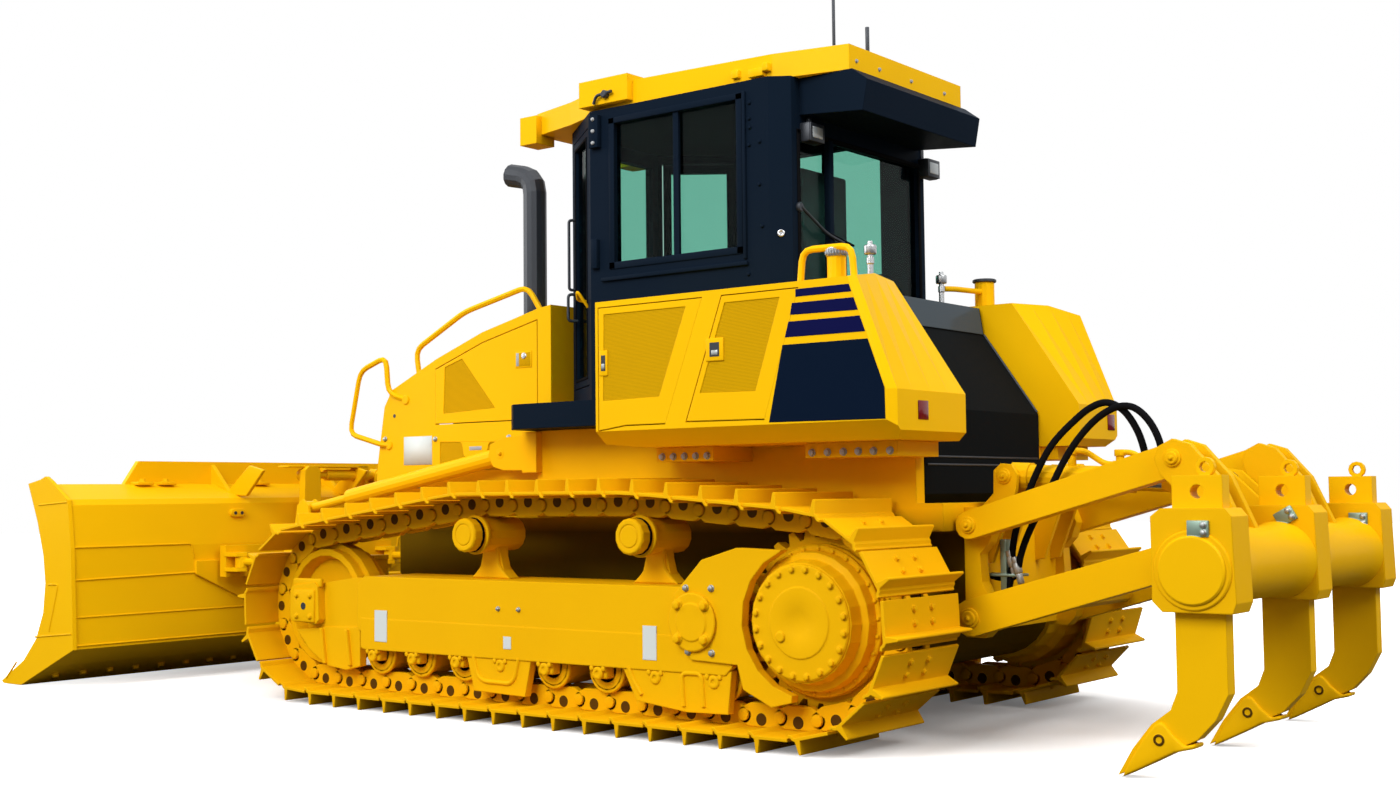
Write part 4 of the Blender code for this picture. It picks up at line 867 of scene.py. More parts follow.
@dataclass
class Track(OneSide):
    """A crawler chain: its shoes, links, pins and bolts, laid along the same loop as the node's."""

    phase: float
    pitch: float = 0.1905
    shoes: int = 46
    middle: float = 0.95
    half: float = 0.30
    shoe_in: float = 0.050
    shoe_out: float = 0.064
    grouser: float = 0.057
    rail_in: float = 0.055
    idler: Point = (-3.15, 0.4945, 0.3735)
    carriers: Pair = (-1.967, -0.911)
    carrier_top: float = 0.968
    links_round: float = 13.5
    lift: float = 0.0025

    def loop(self) -> list[Pair]:
        """The chain's pins (y, z), forward along the ground first."""
        ground = self.grouser + self.shoe_out
        wheel = self.pitch / (2 * math.sin(math.pi / self.links_round))
        y, z, r = self.idler
        top = self.carrier_top + self.rail_in + self.lift
        path = [(0.0, ground)] + arc((y, ground + r), r, -90, -256, 40)
        path += [(self.carriers[0], top), (self.carriers[1], top)]
        path += arc((0.0, ground + wheel), wheel, 84, -90, 44)
        runs = [math.dist(a, b) for a, b in zip(path, path[1:])]
        step = sum(runs) / self.shoes
        pins = []
        for number in range(self.shoes):
            left = (number + self.phase) * step % sum(runs)
            for (a, b), run in zip(zip(path, path[1:]), runs):
                if left <= run:
                    t = left / run
                    pins.append((a[0] + (b[0] - a[0]) * t, a[1] + (b[1] - a[1]) * t))
                    break
                left -= run
        return pins

    def places(self) -> list[Matrix]:
        """For each link, the matrix from (along, across, out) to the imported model."""
        pins = self.loop()
        made = []
        for a, b in zip(pins, pins[1:] + pins[:1]):
            ahead = Vector((0, b[0] - a[0], b[1] - a[1])).normalized()
            out = Vector((0, -ahead.z, ahead.y))
            across = out.cross(ahead)
            turn = Matrix((ahead, across, out)).transposed().to_4x4()
            made.append(Matrix.Translation(self.place(self.middle, *a)) @ turn)
        return made

    def shoe(self) -> bpy.types.Object:
        """One shoe: a plate with a lip, a grouser and four bolts."""
        p, half = self.pitch, self.half
        section = [(0.055 * p, self.shoe_in), (0.055 * p, self.shoe_out),
                   (0.79 * p, self.shoe_out), (0.825 * p, self.shoe_out + self.grouser * 0.92),
                   (0.84 * p, self.shoe_out + self.grouser), (0.88 * p, self.shoe_out + self.grouser),
                   (0.895 * p, self.shoe_out + self.grouser * 0.92), (0.93 * p, self.shoe_out),
                   (0.99 * p, self.shoe_out - 0.005), (1.03 * p, self.shoe_in - 0.003),
                   (1.085 * p, self.shoe_in - 0.005), (1.085 * p, self.shoe_in - 0.017),
                   (1.00 * p, self.shoe_in - 0.015), (0.93 * p, self.shoe_in)]
        plate = Shop.plate("shoe", [Vector((u, -half, v)) for u, v in section],
                           Vector((0, 2 * half, 0)), 0.0015)
        heads = [(Vector((u * p, s * 0.07, self.shoe_out)), Vector((0, 0, 1)))
                 for u in (0.28, 0.58) for s in (-1, 1)]
        return Shop.join("shoe", [Shop.dress(plate, TRACK_YELLOW),
                                  *Shop.bolts("shoe_bolt", heads, 0.013, TRACK_YELLOW)])

    def link(self) -> bpy.types.Object:
        """One pair of links with their bushing and pin ends."""
        p = self.pitch
        parts = []
        for s in (-1, 1):
            outline = (arc((0.0, 0.0), 0.040, 200, 90, 4) + [(0.10 * p, 0.049), (0.90 * p, 0.049)]
                       + arc((p, 0.0), 0.036, 80, -60, 4)
                       + [(0.82 * p, -0.053), (0.18 * p, -0.053)])
            near = s * 0.052
            plate = Shop.plate("link", [Vector((u, near, v)) for u, v in outline],
                               Vector((0, s * 0.036, 0)), 0.003)
            parts.append(Shop.dress(plate, TRACK_YELLOW))
            for u, out in ((0.0, 0.092), (p, 0.099)):
                boss = Shop.bar("pin_end", Vector((u, s * 0.05, 0)), Vector((u, s * out, 0)),
                                0.027, 16, 0.002)
                parts.append(Shop.dress(boss, TRACK_YELLOW))
            # Dark discs on each link's outer face: the large one is painted shade standing in for the
            # link's window, the small one the dark centre of the pin's end.
            for u, v, r, deep in ((0.0, 0.0, 0.013, 0.0922), (0.52 * p, 0.016, 0.027, 0.0882)):
                hole = Shop.bar("link_hole", Vector((u, s * (deep - 0.002), v)),
                                Vector((u, s * (deep + 0.0006), v)), r, 16, 0)
                parts.append(Shop.dress(hole, CHAIN))
        tube = Shop.bar("bushing", Vector((0, -0.055, 0)), Vector((0, 0.055, 0)), 0.030, 16, 0)
        parts.append(Shop.dress(tube, CHAIN))
        return Shop.join("links", parts)

    def build(self) -> None:
        """Lay the chain."""
        module = Shop.join("chain_module", [self.shoe(), self.link()])
        Shop.fit(f"chain_{self.side.label}", Shop.copies(module, self.places()), "machine",
                 [f"track_{self.side.label}"])


def sheet(x: float, outline: Iterable[Pair]) -> list[Vector]:
    """An outline of (y, z) pairs in the plane at x."""
    return [at(x, y, z) for y, z in outline]


@dataclass
class RunningGear(OneSide):
    """Covers, caps, bolts and castings of one side's track frame."""

    face: float = 1.15
    guard: float = 1.118
    drive: Pair = (0.0, 0.534)
    drive_bolts: int = 20
    pivot: Pair = (-0.571, 0.515)
    hub: Pair = (-3.19, 0.500)
    rollers: tuple[float, ...] = (-2.68, -2.383, -2.07, -1.762, -1.474, -1.14, -0.801, -0.474)
    roller_z: float = 0.2703
    carriers: Pair = (-1.967, -0.911)
    carrier_z: float = 0.883
    corner_bolts: tuple[Pair, ...] = ((-0.610, 0.661), (-0.470, 0.663), (-0.600, 0.385),
                                      (-0.470, 0.385))

    def turned(self, name: str, x: float, y: float, z: float, profile: Sequence[Pair],
               finish: Finish = CAST_YELLOW, steps: int = 40) -> bpy.types.Object:
        """A dressed turned piece that stands out of this side.

        Args:
            name: its name.
            x: how far out its profile starts.
            y: where its axis is.
            z: how high its axis is.
            profile: its section as (radius, distance out).
            finish: its finish.
            steps: the steps of a full turn.

        Returns:
            The dressed piece.
        """
        made = Shop.lathe(name, profile, self.place(x, y, z), self.out, steps)
        return Shop.dress(made, finish)

    def around(self, centre: Pair, radius: float, count: int, x: float,
               first: float = 0.0) -> list[tuple[Vector, Vector]]:
        """Seats of bolts on a circle.

        Args:
            centre: the circle's centre as (y, z).
            radius: its radius.
            count: how many bolts.
            x: how far out their seats are.
            first: the first one's angle in degrees.

        Returns:
            The seats and the way that the bolts point.
        """
        return [(self.place(x, centre[0] + radius * math.cos(t), centre[1] + radius * math.sin(t)),
                 self.out) for t in (math.radians(first + 360 * n / count) for n in range(count))]

    def drive_cover(self) -> Pieces:
        """The final drive's cover with its two rings of bolts."""
        y, z = self.drive
        cover = [(0, 0), (0.243, 0), (0.243, 0.004), (0.236, 0.010), (0.150, 0.012), (0.146, 0.016),
                 (0.060, 0.018), (0.052, 0.014), (0, 0.014)]
        plug = [(0, 0), (0.022, 0), (0.022, 0.010), (0.018, 0.013), (0, 0.013)]
        lip = [(0.292, 0), (0.318, 0), (0.318, 0.010), (0.312, 0.015), (0.292, 0.015)]
        rings = (self.around(self.drive, 0.222, self.drive_bolts, self.face + 0.008, 9.0),
                 self.around(self.drive, 0.303, 26, 1.030, 4.0))
        return [
            self.turned("drive_cover", self.face, y, z, cover, steps=64),
            self.turned("drain_plug", self.face + 0.013, y - 0.09, z - 0.06, plug, steps=20),
            self.turned("drive_lip", 1.018, y, z, lip + lip[:1], steps=64),
            *Shop.bolts("cover_bolt", rings[0], 0.0135, CAST_YELLOW),
            *Shop.bolts("flange_bolt", rings[1], 0.0095, CAST_YELLOW),
        ]

    def frame_fittings(self) -> Pieces:
        """The pivot cover, the idler's hub and the ribs and bolts on the side frame."""
        y, z = self.pivot
        cover = [(0, 0), (0.128, 0), (0.128, 0.004), (0.122, 0.008), (0.085, 0.008), (0.080, 0.013),
                 (0, 0.013)]
        hole = [(0, 0), (0.019, 0), (0.019, 0.0015), (0, 0.0015)]
        hub_y, hub_z = self.hub
        hub_bolts = [(self.place(self.face + 0.010, hub_y + a, hub_z + b), self.out)
                     for a in (-0.055, 0.055) for b in (-0.055, 0.055)]
        pads = [Shop.block("hub_pad", self.place(self.face - 0.006, hub_y - 0.085, hub_z - 0.085),
                           self.place(self.face + 0.010, hub_y + 0.085, hub_z + 0.085), 0.006, 3),
                Shop.block("hub_step", self.place(1.12, hub_y - 0.11, hub_z + 0.10),
                           self.place(1.142, hub_y + 0.12, hub_z + 0.145), 0.008, 3)]
        ribs = [Shop.plate(f"guard_rib_{n}", [self.place(1.108, y0, 0.385),
                                               self.place(1.108, y0 + 0.022, 0.385),
                                               self.place(1.108, y0 + 0.05, 0.20),
                                               self.place(1.108, y0 + 0.028, 0.20)],
                           self.out * 0.022, 0.004) for n, y0 in enumerate((-3.10, -2.90))]
        for n, route in enumerate((((-1.945, 0.300), (-1.915, 0.205), (-1.870, 0.180),
                                    (-1.700, 0.178), (-1.665, 0.205), (-1.640, 0.300)),
                                   ((-0.955, 0.300), (-0.930, 0.245), (-0.880, 0.180)),
                                   ((-0.640, 0.145), (-0.650, 0.290), (-0.540, 0.292),
                                    (-0.530, 0.150)))):
            ribs.append(Shop.pipe(f"guide_rib_{n}", [self.place(1.124, a, b) for a, b in route],
                                  0.011, 0.03))
        small = [(self.place(1.142, a, b), self.out) for a, b in self.corner_bolts]
        eye = [(self.place(1.1285, a, 0.531), self.out) for a in (-1.772, -1.636)]
        return [
            self.turned("pivot_cover", self.face, y, z, cover, steps=48),
            self.turned("hub_hole", self.face + 0.010, hub_y, hub_z, hole, BLACK, 24),
            *(Shop.dress(piece, CAST_YELLOW) for piece in pads + ribs),
            *Shop.bolts("pivot_bolt", self.around(self.pivot, 0.104, 4, self.face + 0.008, 45), 0.020,
                        CAST_YELLOW),
            *Shop.bolts("hub_bolt", hub_bolts, 0.012, CAST_YELLOW),
            *Shop.bolts("corner_bolt", small, 0.013, STEEL),
            *Shop.bolts("beam_bolt", eye, 0.010, STEEL),
        ]

    def bare_plates(self) -> Pieces:
        """The blank plates on the side frame's beam."""
        spots = ((-2.610, 0.415, 0.047, 0.080), (-0.828, 0.412, 0.040, 0.076),
                 (-1.711, 0.371, 0.026, 0.030))
        return [Shop.dress(Shop.block(f"bare_plate_{number}", self.place(1.1290, y - a, z - b),
                                      self.place(1.1315, y + a, z + b), 0.0006, 1), LABEL)
                for number, (y, z, a, b) in enumerate(spots)]

    def roller_ends(self) -> Pieces:
        """The rollers' flanges and the caps on their shafts."""
        flange = [(0, 0), (0.106, 0), (0.108, 0.003), (0.108, 0.012), (0.104, 0.016),
                  (0.088, 0.016), (0.084, 0.009), (0.062, 0.009), (0.058, 0.016), (0, 0.016)]
        cap = [(0, 0), (0.030, 0), (0.030, 0.010), (0.024, 0.015), (0.012, 0.015), (0.010, 0.011),
               (0, 0.011)]
        made, z = [], self.roller_z - 0.006
        for number, y in enumerate(self.rollers):
            clamp = Shop.block(f"clamp_{number}", self.place(1.055, y - 0.050, z - 0.030),
                               self.place(self.guard, y + 0.046, z + 0.034), 0.011, 3)
            heads = [(self.place(self.guard, y + a, z + b), self.out)
                     for a, b in ((-0.036, 0.018), (0.033, 0.018))]
            made += [Shop.dress(clamp, CAST_YELLOW),
                     *Shop.bolts("clamp_bolt", heads, 0.013, CAST_YELLOW),
                     self.turned(f"flange_{number}", 1.049, y, self.roller_z, flange, steps=32),
                     self.turned(f"cap_{number}", self.guard, y, z - 0.004, cap, steps=24)]
        return made

    def carrier_ends(self) -> Pieces:
        """The carrier rollers' caps, seals and flared feet."""
        made = []
        cap = [(0, 0), (0.080, 0), (0.080, 0.006), (0.074, 0.012), (0.056, 0.012), (0.054, 0.009),
               (0.050, 0.009), (0.048, 0.012), (0, 0.012)]
        band = [(0.070, 0), (0.0845, 0), (0.0845, 0.014), (0.070, 0.014)]
        rim = [(0.070, 0), (0.094, 0), (0.096, 0.004), (0.096, 0.022), (0.092, 0.026), (0.070, 0.026)]
        for number, y in enumerate(self.carriers):
            z = self.carrier_z
            made += [
                self.turned(f"carrier_cap_{number}", 1.160, y, z, cap),
                self.turned(f"carrier_seal_{number}", 1.105, y, z, band + band[:1], RUBBER),
                self.turned(f"carrier_rim_{number}", 1.070, y, z, rim + rim[:1]),
            ]
            curve = [(0.056 + 0.078 * (1 - math.sin(math.pi * n / 12)), 0.665 + 0.016 * n)
                     for n in range(7)]
            flare = [(a, b) for a, b in curve] + [(0.052, 0.85)]
            flare += [(-a, b) for a, b in reversed(flare)]
            foot = Shop.plate(f"carrier_foot_{number}", [self.place(0.91, y + a, b) for a, b in flare],
                              self.out * 0.08, 0.006)
            made.append(Shop.dress(foot, CAST_YELLOW))
        return made

    def build(self) -> None:
        """Fit the track frame's pieces."""
        label = self.side.label
        Shop.fit(f"drive_cover_{label}", self.drive_cover(), "machine")
        Shop.fit(f"frame_fittings_{label}", self.frame_fittings(), "machine")
        Shop.fit(f"bare_plates_{label}", self.bare_plates(), "machine")
        Shop.fit(f"roller_ends_{label}", self.roller_ends(), "machine")
        Shop.fit(f"carrier_ends_{label}", self.carrier_ends(), "machine")


@dataclass
class Fenders:
    """The fenders' stripes, dark panel, sheets, latches, caps, reflectors and bolts."""

    skin: float = 1.15
    sheet_in: float = 0.0040
    stripes: tuple[tuple[Pair, ...], ...] = (
        ((-0.002, 1.922), (0.262, 1.922), (0.274, 1.890), (-0.002, 1.890)),
        ((-0.021, 1.865), (0.284, 1.865), (0.304, 1.812), (-0.031, 1.816)),
        ((-0.040, 1.788), (0.312, 1.788), (0.337, 1.722), (-0.059, 1.723)),
    )
    panel: tuple[Pair, ...] = ((-0.072, 1.692), (0.348, 1.692), (0.424, 1.49), (0.426, 1.364),
                               (-0.146, 1.369))
    front_sheet: tuple[Pair, ...] = ((-1.074, 1.501), (-0.746, 1.506), (-0.592, 1.894),
                                     (-1.067, 1.894))
    rear_sheet: tuple[Pair, ...] = ((-0.514, 1.511), (-0.217, 1.506), (-0.086, 1.894),
                                    (-0.374, 1.894))

    def marks(self) -> Pieces:
        """The dark panel and the three stripes, both bare."""
        thin = Vector((SHEET, 0, 0))
        made = [Shop.dress(Shop.plate(f"stripe_{n}", sheet(self.skin + 0.0002, outline), thin, 0),
                           NAVY) for n, outline in enumerate(self.stripes)]
        dark = Shop.plate("dark_panel", sheet(self.skin + 0.0002, self.panel), thin, 0)
        return made + [Shop.dress(dark, PANEL)]

    def punched(self, name: str, outline: Sequence[Pair]) -> bpy.types.Object:
        """A punched sheet at the bottom of a door's recess."""
        thin = Vector((SHEET, 0, 0))
        plate = Shop.plate(name, sheet(self.skin - self.sheet_in + 0.0003, outline), thin, 0)
        return Shop.dress(plate, MESH_YELLOW)

    def latch(self, name: str, y: float, z: float, wide: float, tall: float) -> Pieces:
        """A pressed frame with a dark pocket and a plated paddle.

        Args:
            name: its name.
            y: its middle along the machine.
            z: its middle in height.
            wide: its half width.
            tall: its half height.

        Returns:
            The dressed pieces.
        """
        x = self.skin
        frame_low, frame_high = at(x - 0.003, y - wide, z - tall), at(x + 0.004, y + wide, z + tall)
        pocket = Shop.block(f"{name}_pocket", at(x + 0.0035, y - wide * 0.55, z - tall * 0.62),
                            at(x + 0.0048, y + wide * 0.55, z + tall * 0.62), 0.0008, 1)
        paddle = Shop.block(f"{name}_paddle", at(x + 0.0045, y - wide * 0.30, z - tall * 0.5),
                            at(x + 0.0085, y + wide * 0.40, z - tall * 0.05), 0.0015, 2)
        return [Shop.dress(Shop.block(f"{name}_frame", frame_low, frame_high, 0.0028, 3), YELLOW),
                Shop.dress(pocket, BLACK), Shop.dress(paddle, STEEL)]

    def bolt_rows(self, side: Side) -> Pieces:
        """The bolts that hold a fender on its feet."""
        heads = [(at(side.value * 0.9203, y, 1.243), Vector((side.value, 0, 0)))
                 for y in (-0.915, -0.850, -0.785, -0.720, -0.655, -0.085, -0.005, 0.075, 0.150,
                           0.225, 0.305)]
        return Shop.bolts("foot_bolt", heads, 0.014, IRON)

    def reflector(self, side: Side) -> Pieces:
        """The red reflector on the rear face."""
        x, half = side.value * 0.921, 0.040
        lens = Shop.block("reflector", at(x - half, 0.4655, 1.366), at(x + half, 0.4690, 1.444),
                          0.0015, 2)
        return [Shop.dress(lens, RED)]

    def caps(self) -> Pieces:
        """The filler caps, the breathers and the grab bars' feet."""
        ridged = [(0, 0), (0.043, 0), (0.046, 0.006), (0.046, 0.036), (0.040, 0.044), (0, 0.046)]
        flat = [(0, 0), (0.058, 0), (0.061, 0.003), (0.061, 0.013), (0.055, 0.017), (0, 0.018)]
        stem = [(0, 0), (0.013, 0), (0.013, 0.07), (0.0165, 0.072), (0.0165, 0.10), (0.012, 0.102),
                (0.012, 0.112), (0.0255, 0.114), (0.0275, 0.120), (0.0275, 0.150), (0.024, 0.155),
                (0.011, 0.157), (0.011, 0.172), (0, 0.173)]
        up = Vector((0, 0, 1))
        made = [
            Shop.dress(Shop.lathe("left_cap", ridged, at(1.02, 0.12, 2.06), up, 40), CHROME),
            Shop.dress(Shop.lathe("right_cap", flat, at(-0.75, -0.13, 2.14), up, 40), BLACK),
            Shop.dress(Shop.lathe("right_breather", stem, at(-0.34, -0.15, 1.985), up, 32), CHROME),
            Shop.dress(Shop.lathe("left_breather", stem, at(0.70, 0.087, 1.995), up, 32), CHROME),
            Shop.dress(Shop.pipe("neck_rail", [at(-0.36, -0.15, 2.075), at(-0.46, -0.145, 2.083),
                                               at(-0.71, -0.13, 2.09)], 0.014), YELLOW),
        ]
        ribs = [Matrix.Rotation(math.tau * n / 24, 4, "Z") for n in range(24)]
        rib = Shop.block("cap_rib", Vector((0.045, -0.002, 0.008)), Vector((0.049, 0.002, 0.034)),
                         0.0008, 1)
        place = Matrix.Translation(at(1.02, 0.12, 2.06))
        made += Shop.copies(Shop.dress(rib, CHROME), [place @ turn for turn in ribs])
        for y in (-0.047, 0.228):
            foot = Shop.block(f"grab_foot_{y}", at(1.022, y - 0.03, 1.952), at(1.078, y + 0.03, 1.966),
                              0.004)
            made.append(Shop.dress(foot, YELLOW))
        return made

    def build(self) -> None:
        """Fit the fenders' pieces."""
        Shop.fit("fender_marks", self.marks(), "machine")
        Shop.fit("fender_caps", self.caps(), "machine")
        for side in Side:
            Shop.fit(f"foot_bolts_{side.label}", self.bolt_rows(side), "machine")
            Shop.fit(f"reflector_{side.label}", self.reflector(side), "machine")
        Shop.fit("front_sheet", [self.punched("front_sheet", self.front_sheet)],
                 "fender_front_door")
        Shop.fit("rear_sheet", [self.punched("rear_sheet", self.rear_sheet)], "fender_rear_door")
        Shop.fit("front_latch", self.latch("front_latch", -1.070, 1.672, 0.024, 0.058),
                 "fender_front_door")
        Shop.fit("rear_latch", self.latch("rear_latch", -0.430, 1.695, 0.048, 0.050),
                 "fender_rear_door")


def disc(name: str, centre: Vector, way: Vector, profile: Sequence[Pair],
         finish: Finish = YELLOW, steps: int = 32) -> bpy.types.Object:
    """A dressed turned piece whose profile of (radius, distance) starts at a centre."""
    return Shop.dress(Shop.lathe(name, profile, centre, way, steps), finish)


def pin_cap(name: str, centre: Vector, way: Vector, radius: float,
            finish: Finish = CAST_YELLOW) -> Pieces:
    """A pin's flanged end with a keeper bolt in its middle.

    Args:
        name: its name.
        centre: the middle of the face that it stands on.
        way: the way that it points.
        radius: its flange's radius.
        finish: its finish.

    Returns:
        The dressed pieces.
    """
    rim = [(0, -0.002), (radius, -0.002), (radius, 0.006), (radius * 0.92, 0.009),
           (radius * 0.72, 0.009), (radius * 0.70, 0.016), (radius * 0.62, 0.019), (0, 0.019)]
    return [disc(name, centre, way, rim, finish),
            *Shop.bolts(f"{name}_bolt", [(centre + way * 0.019, way)], radius * 0.22, finish)]


@dataclass
class Hood(OneSide):
    """The hood's punched sheets, tabs, latches, bolts and blank plates on one side."""

    skin: float = 0.50
    recess: float = 0.0037
    door_sheet: tuple[Pair, ...] = ((-2.814, 1.530), (-2.417, 1.546), (-2.669, 1.824),
                                    (-2.803, 1.784))
    low_sheet: tuple[Pair, ...] = ((-2.842, 1.216), (-2.342, 1.211), (-2.342, 1.359),
                                   (-2.842, 1.372))
    tab: tuple[Pair, ...] = ((-2.684, 1.3685), (-2.668, 1.355), (-2.656, 1.296), (-2.645, 1.288),
                             (-2.492, 1.281), (-2.480, 1.289), (-2.466, 1.350), (-2.450, 1.3625))
    bolts: tuple[Pair, ...] = ((-3.291, 1.402), (-2.879, 1.390), (-2.311, 1.384))
    plugs: tuple[Pair, ...] = ((-3.216, 1.531), (-2.192, 1.380))

    def face(self, name: str, x: float, outline: Iterable[Pair], depth: float, finish: Finish,
             bevel: float = 0.0) -> bpy.types.Object:
        """A dressed sheet of the given thickness, standing out from the plane at x."""
        made = Shop.plate(name, [self.place(x, y, z) for y, z in outline], self.out * depth, bevel)
        return Shop.dress(made, finish)

    def block(self, name: str, x: Pair, y: Pair, z: Pair, finish: Finish,
              bevel: float = 0.001) -> bpy.types.Object:
        """A dressed block between limits along each axis on this side."""
        low, high = self.place(x[0], y[0], z[0]), self.place(x[1], y[1], z[1])
        return Shop.dress(Shop.block(name, low, high, bevel, 2), finish)

    def latch(self) -> Pieces:
        """The door's square pocket with a dark strip of painted shade along its finger gap, and a
        plated button.
        """
        x = self.skin
        return [
            self.block("latch_rim", (x - 0.002, x + 0.0035), (-2.262, -2.142), (1.750, 1.838),
                       YELLOW, 0.0025),
            self.block("latch_floor", (x + 0.003, x + 0.0042), (-2.254, -2.150), (1.758, 1.830),
                       MESH_YELLOW, 0.0005),
            # A dark block painted as the shade along the pocket's left edge.
            self.block("latch_painted_shade", (x + 0.0035, x + 0.0046), (-2.254, -2.234), (1.760, 1.829),
                       IRON, 0.0005),
            disc("latch_button", self.place(x + 0.0038, -2.197, 1.813), self.out,
                 [(0, 0), (0.017, 0), (0.016, 0.003), (0.009, 0.004), (0, 0.0035)], CHROME, 24),
        ]

    def trim(self) -> Pieces:
        """The lower sheet with its slotted tab, the bolts, plugs, rail feet and blank plates."""
        x, way = self.skin, self.out
        plug = [(0, 0), (0.011, 0), (0.010, 0.002), (0, 0.002)]
        foot = [(0, -0.001), (0.027, -0.001), (0.027, 0.004), (0.022, 0.009), (0, 0.009)]
        heads = [(self.place(x, y, z), way) for y, z in self.bolts]
        return [
            self.face("low_sheet", x - self.recess, self.low_sheet, SHEET, MESH_YELLOW),
            self.face("low_tab", x - 0.0035, self.tab, 0.0055, YELLOW, 0.0015),
            self.block("tab_slot", (x + 0.001, x + 0.0026), (-2.610, -2.517), (1.322, 1.342),
                       IRON, 0.0004),
            self.block("blank_plate", (x, x + 0.0015), (-3.136, -2.907), (1.250, 1.410), LABEL,
                       0.0004),
            self.block("small_blank_plate", (x, x + SHEET), (-3.045, -3.000), (1.120, 1.138),
                       LABEL, 0.0004),
            *Shop.bolts("hood_bolt", heads, 0.012, STEEL),
            *(disc(f"plug_{n}", self.place(x, y, z), way, plug, BLACK, 16)
              for n, (y, z) in enumerate(self.plugs)),
            *(disc(f"rail_foot_{n}", self.place(x, y, z), way, foot)
              for n, (y, z) in enumerate(((-3.12, 1.618), (-3.26, 1.367)))),
        ]

    def build(self) -> None:
        """Fit this side's pieces."""
        label = self.side.label
        door = f"hood_door_{label}"
        Shop.fit(f"hood_trim_{label}", self.trim(), "machine")
        Shop.fit(f"hood_sheet_{label}",
                 [self.face("door_sheet", self.skin - self.recess, self.door_sheet, SHEET,
                            MESH_YELLOW), *self.latch()], door)
        Shop.fit(f"lift_pin_{label}", pin_cap("lift_pin_cap", self.place(0.644, -2.218, 1.293),
                                              self.out, 0.043), f"lift_barrel_{label}")


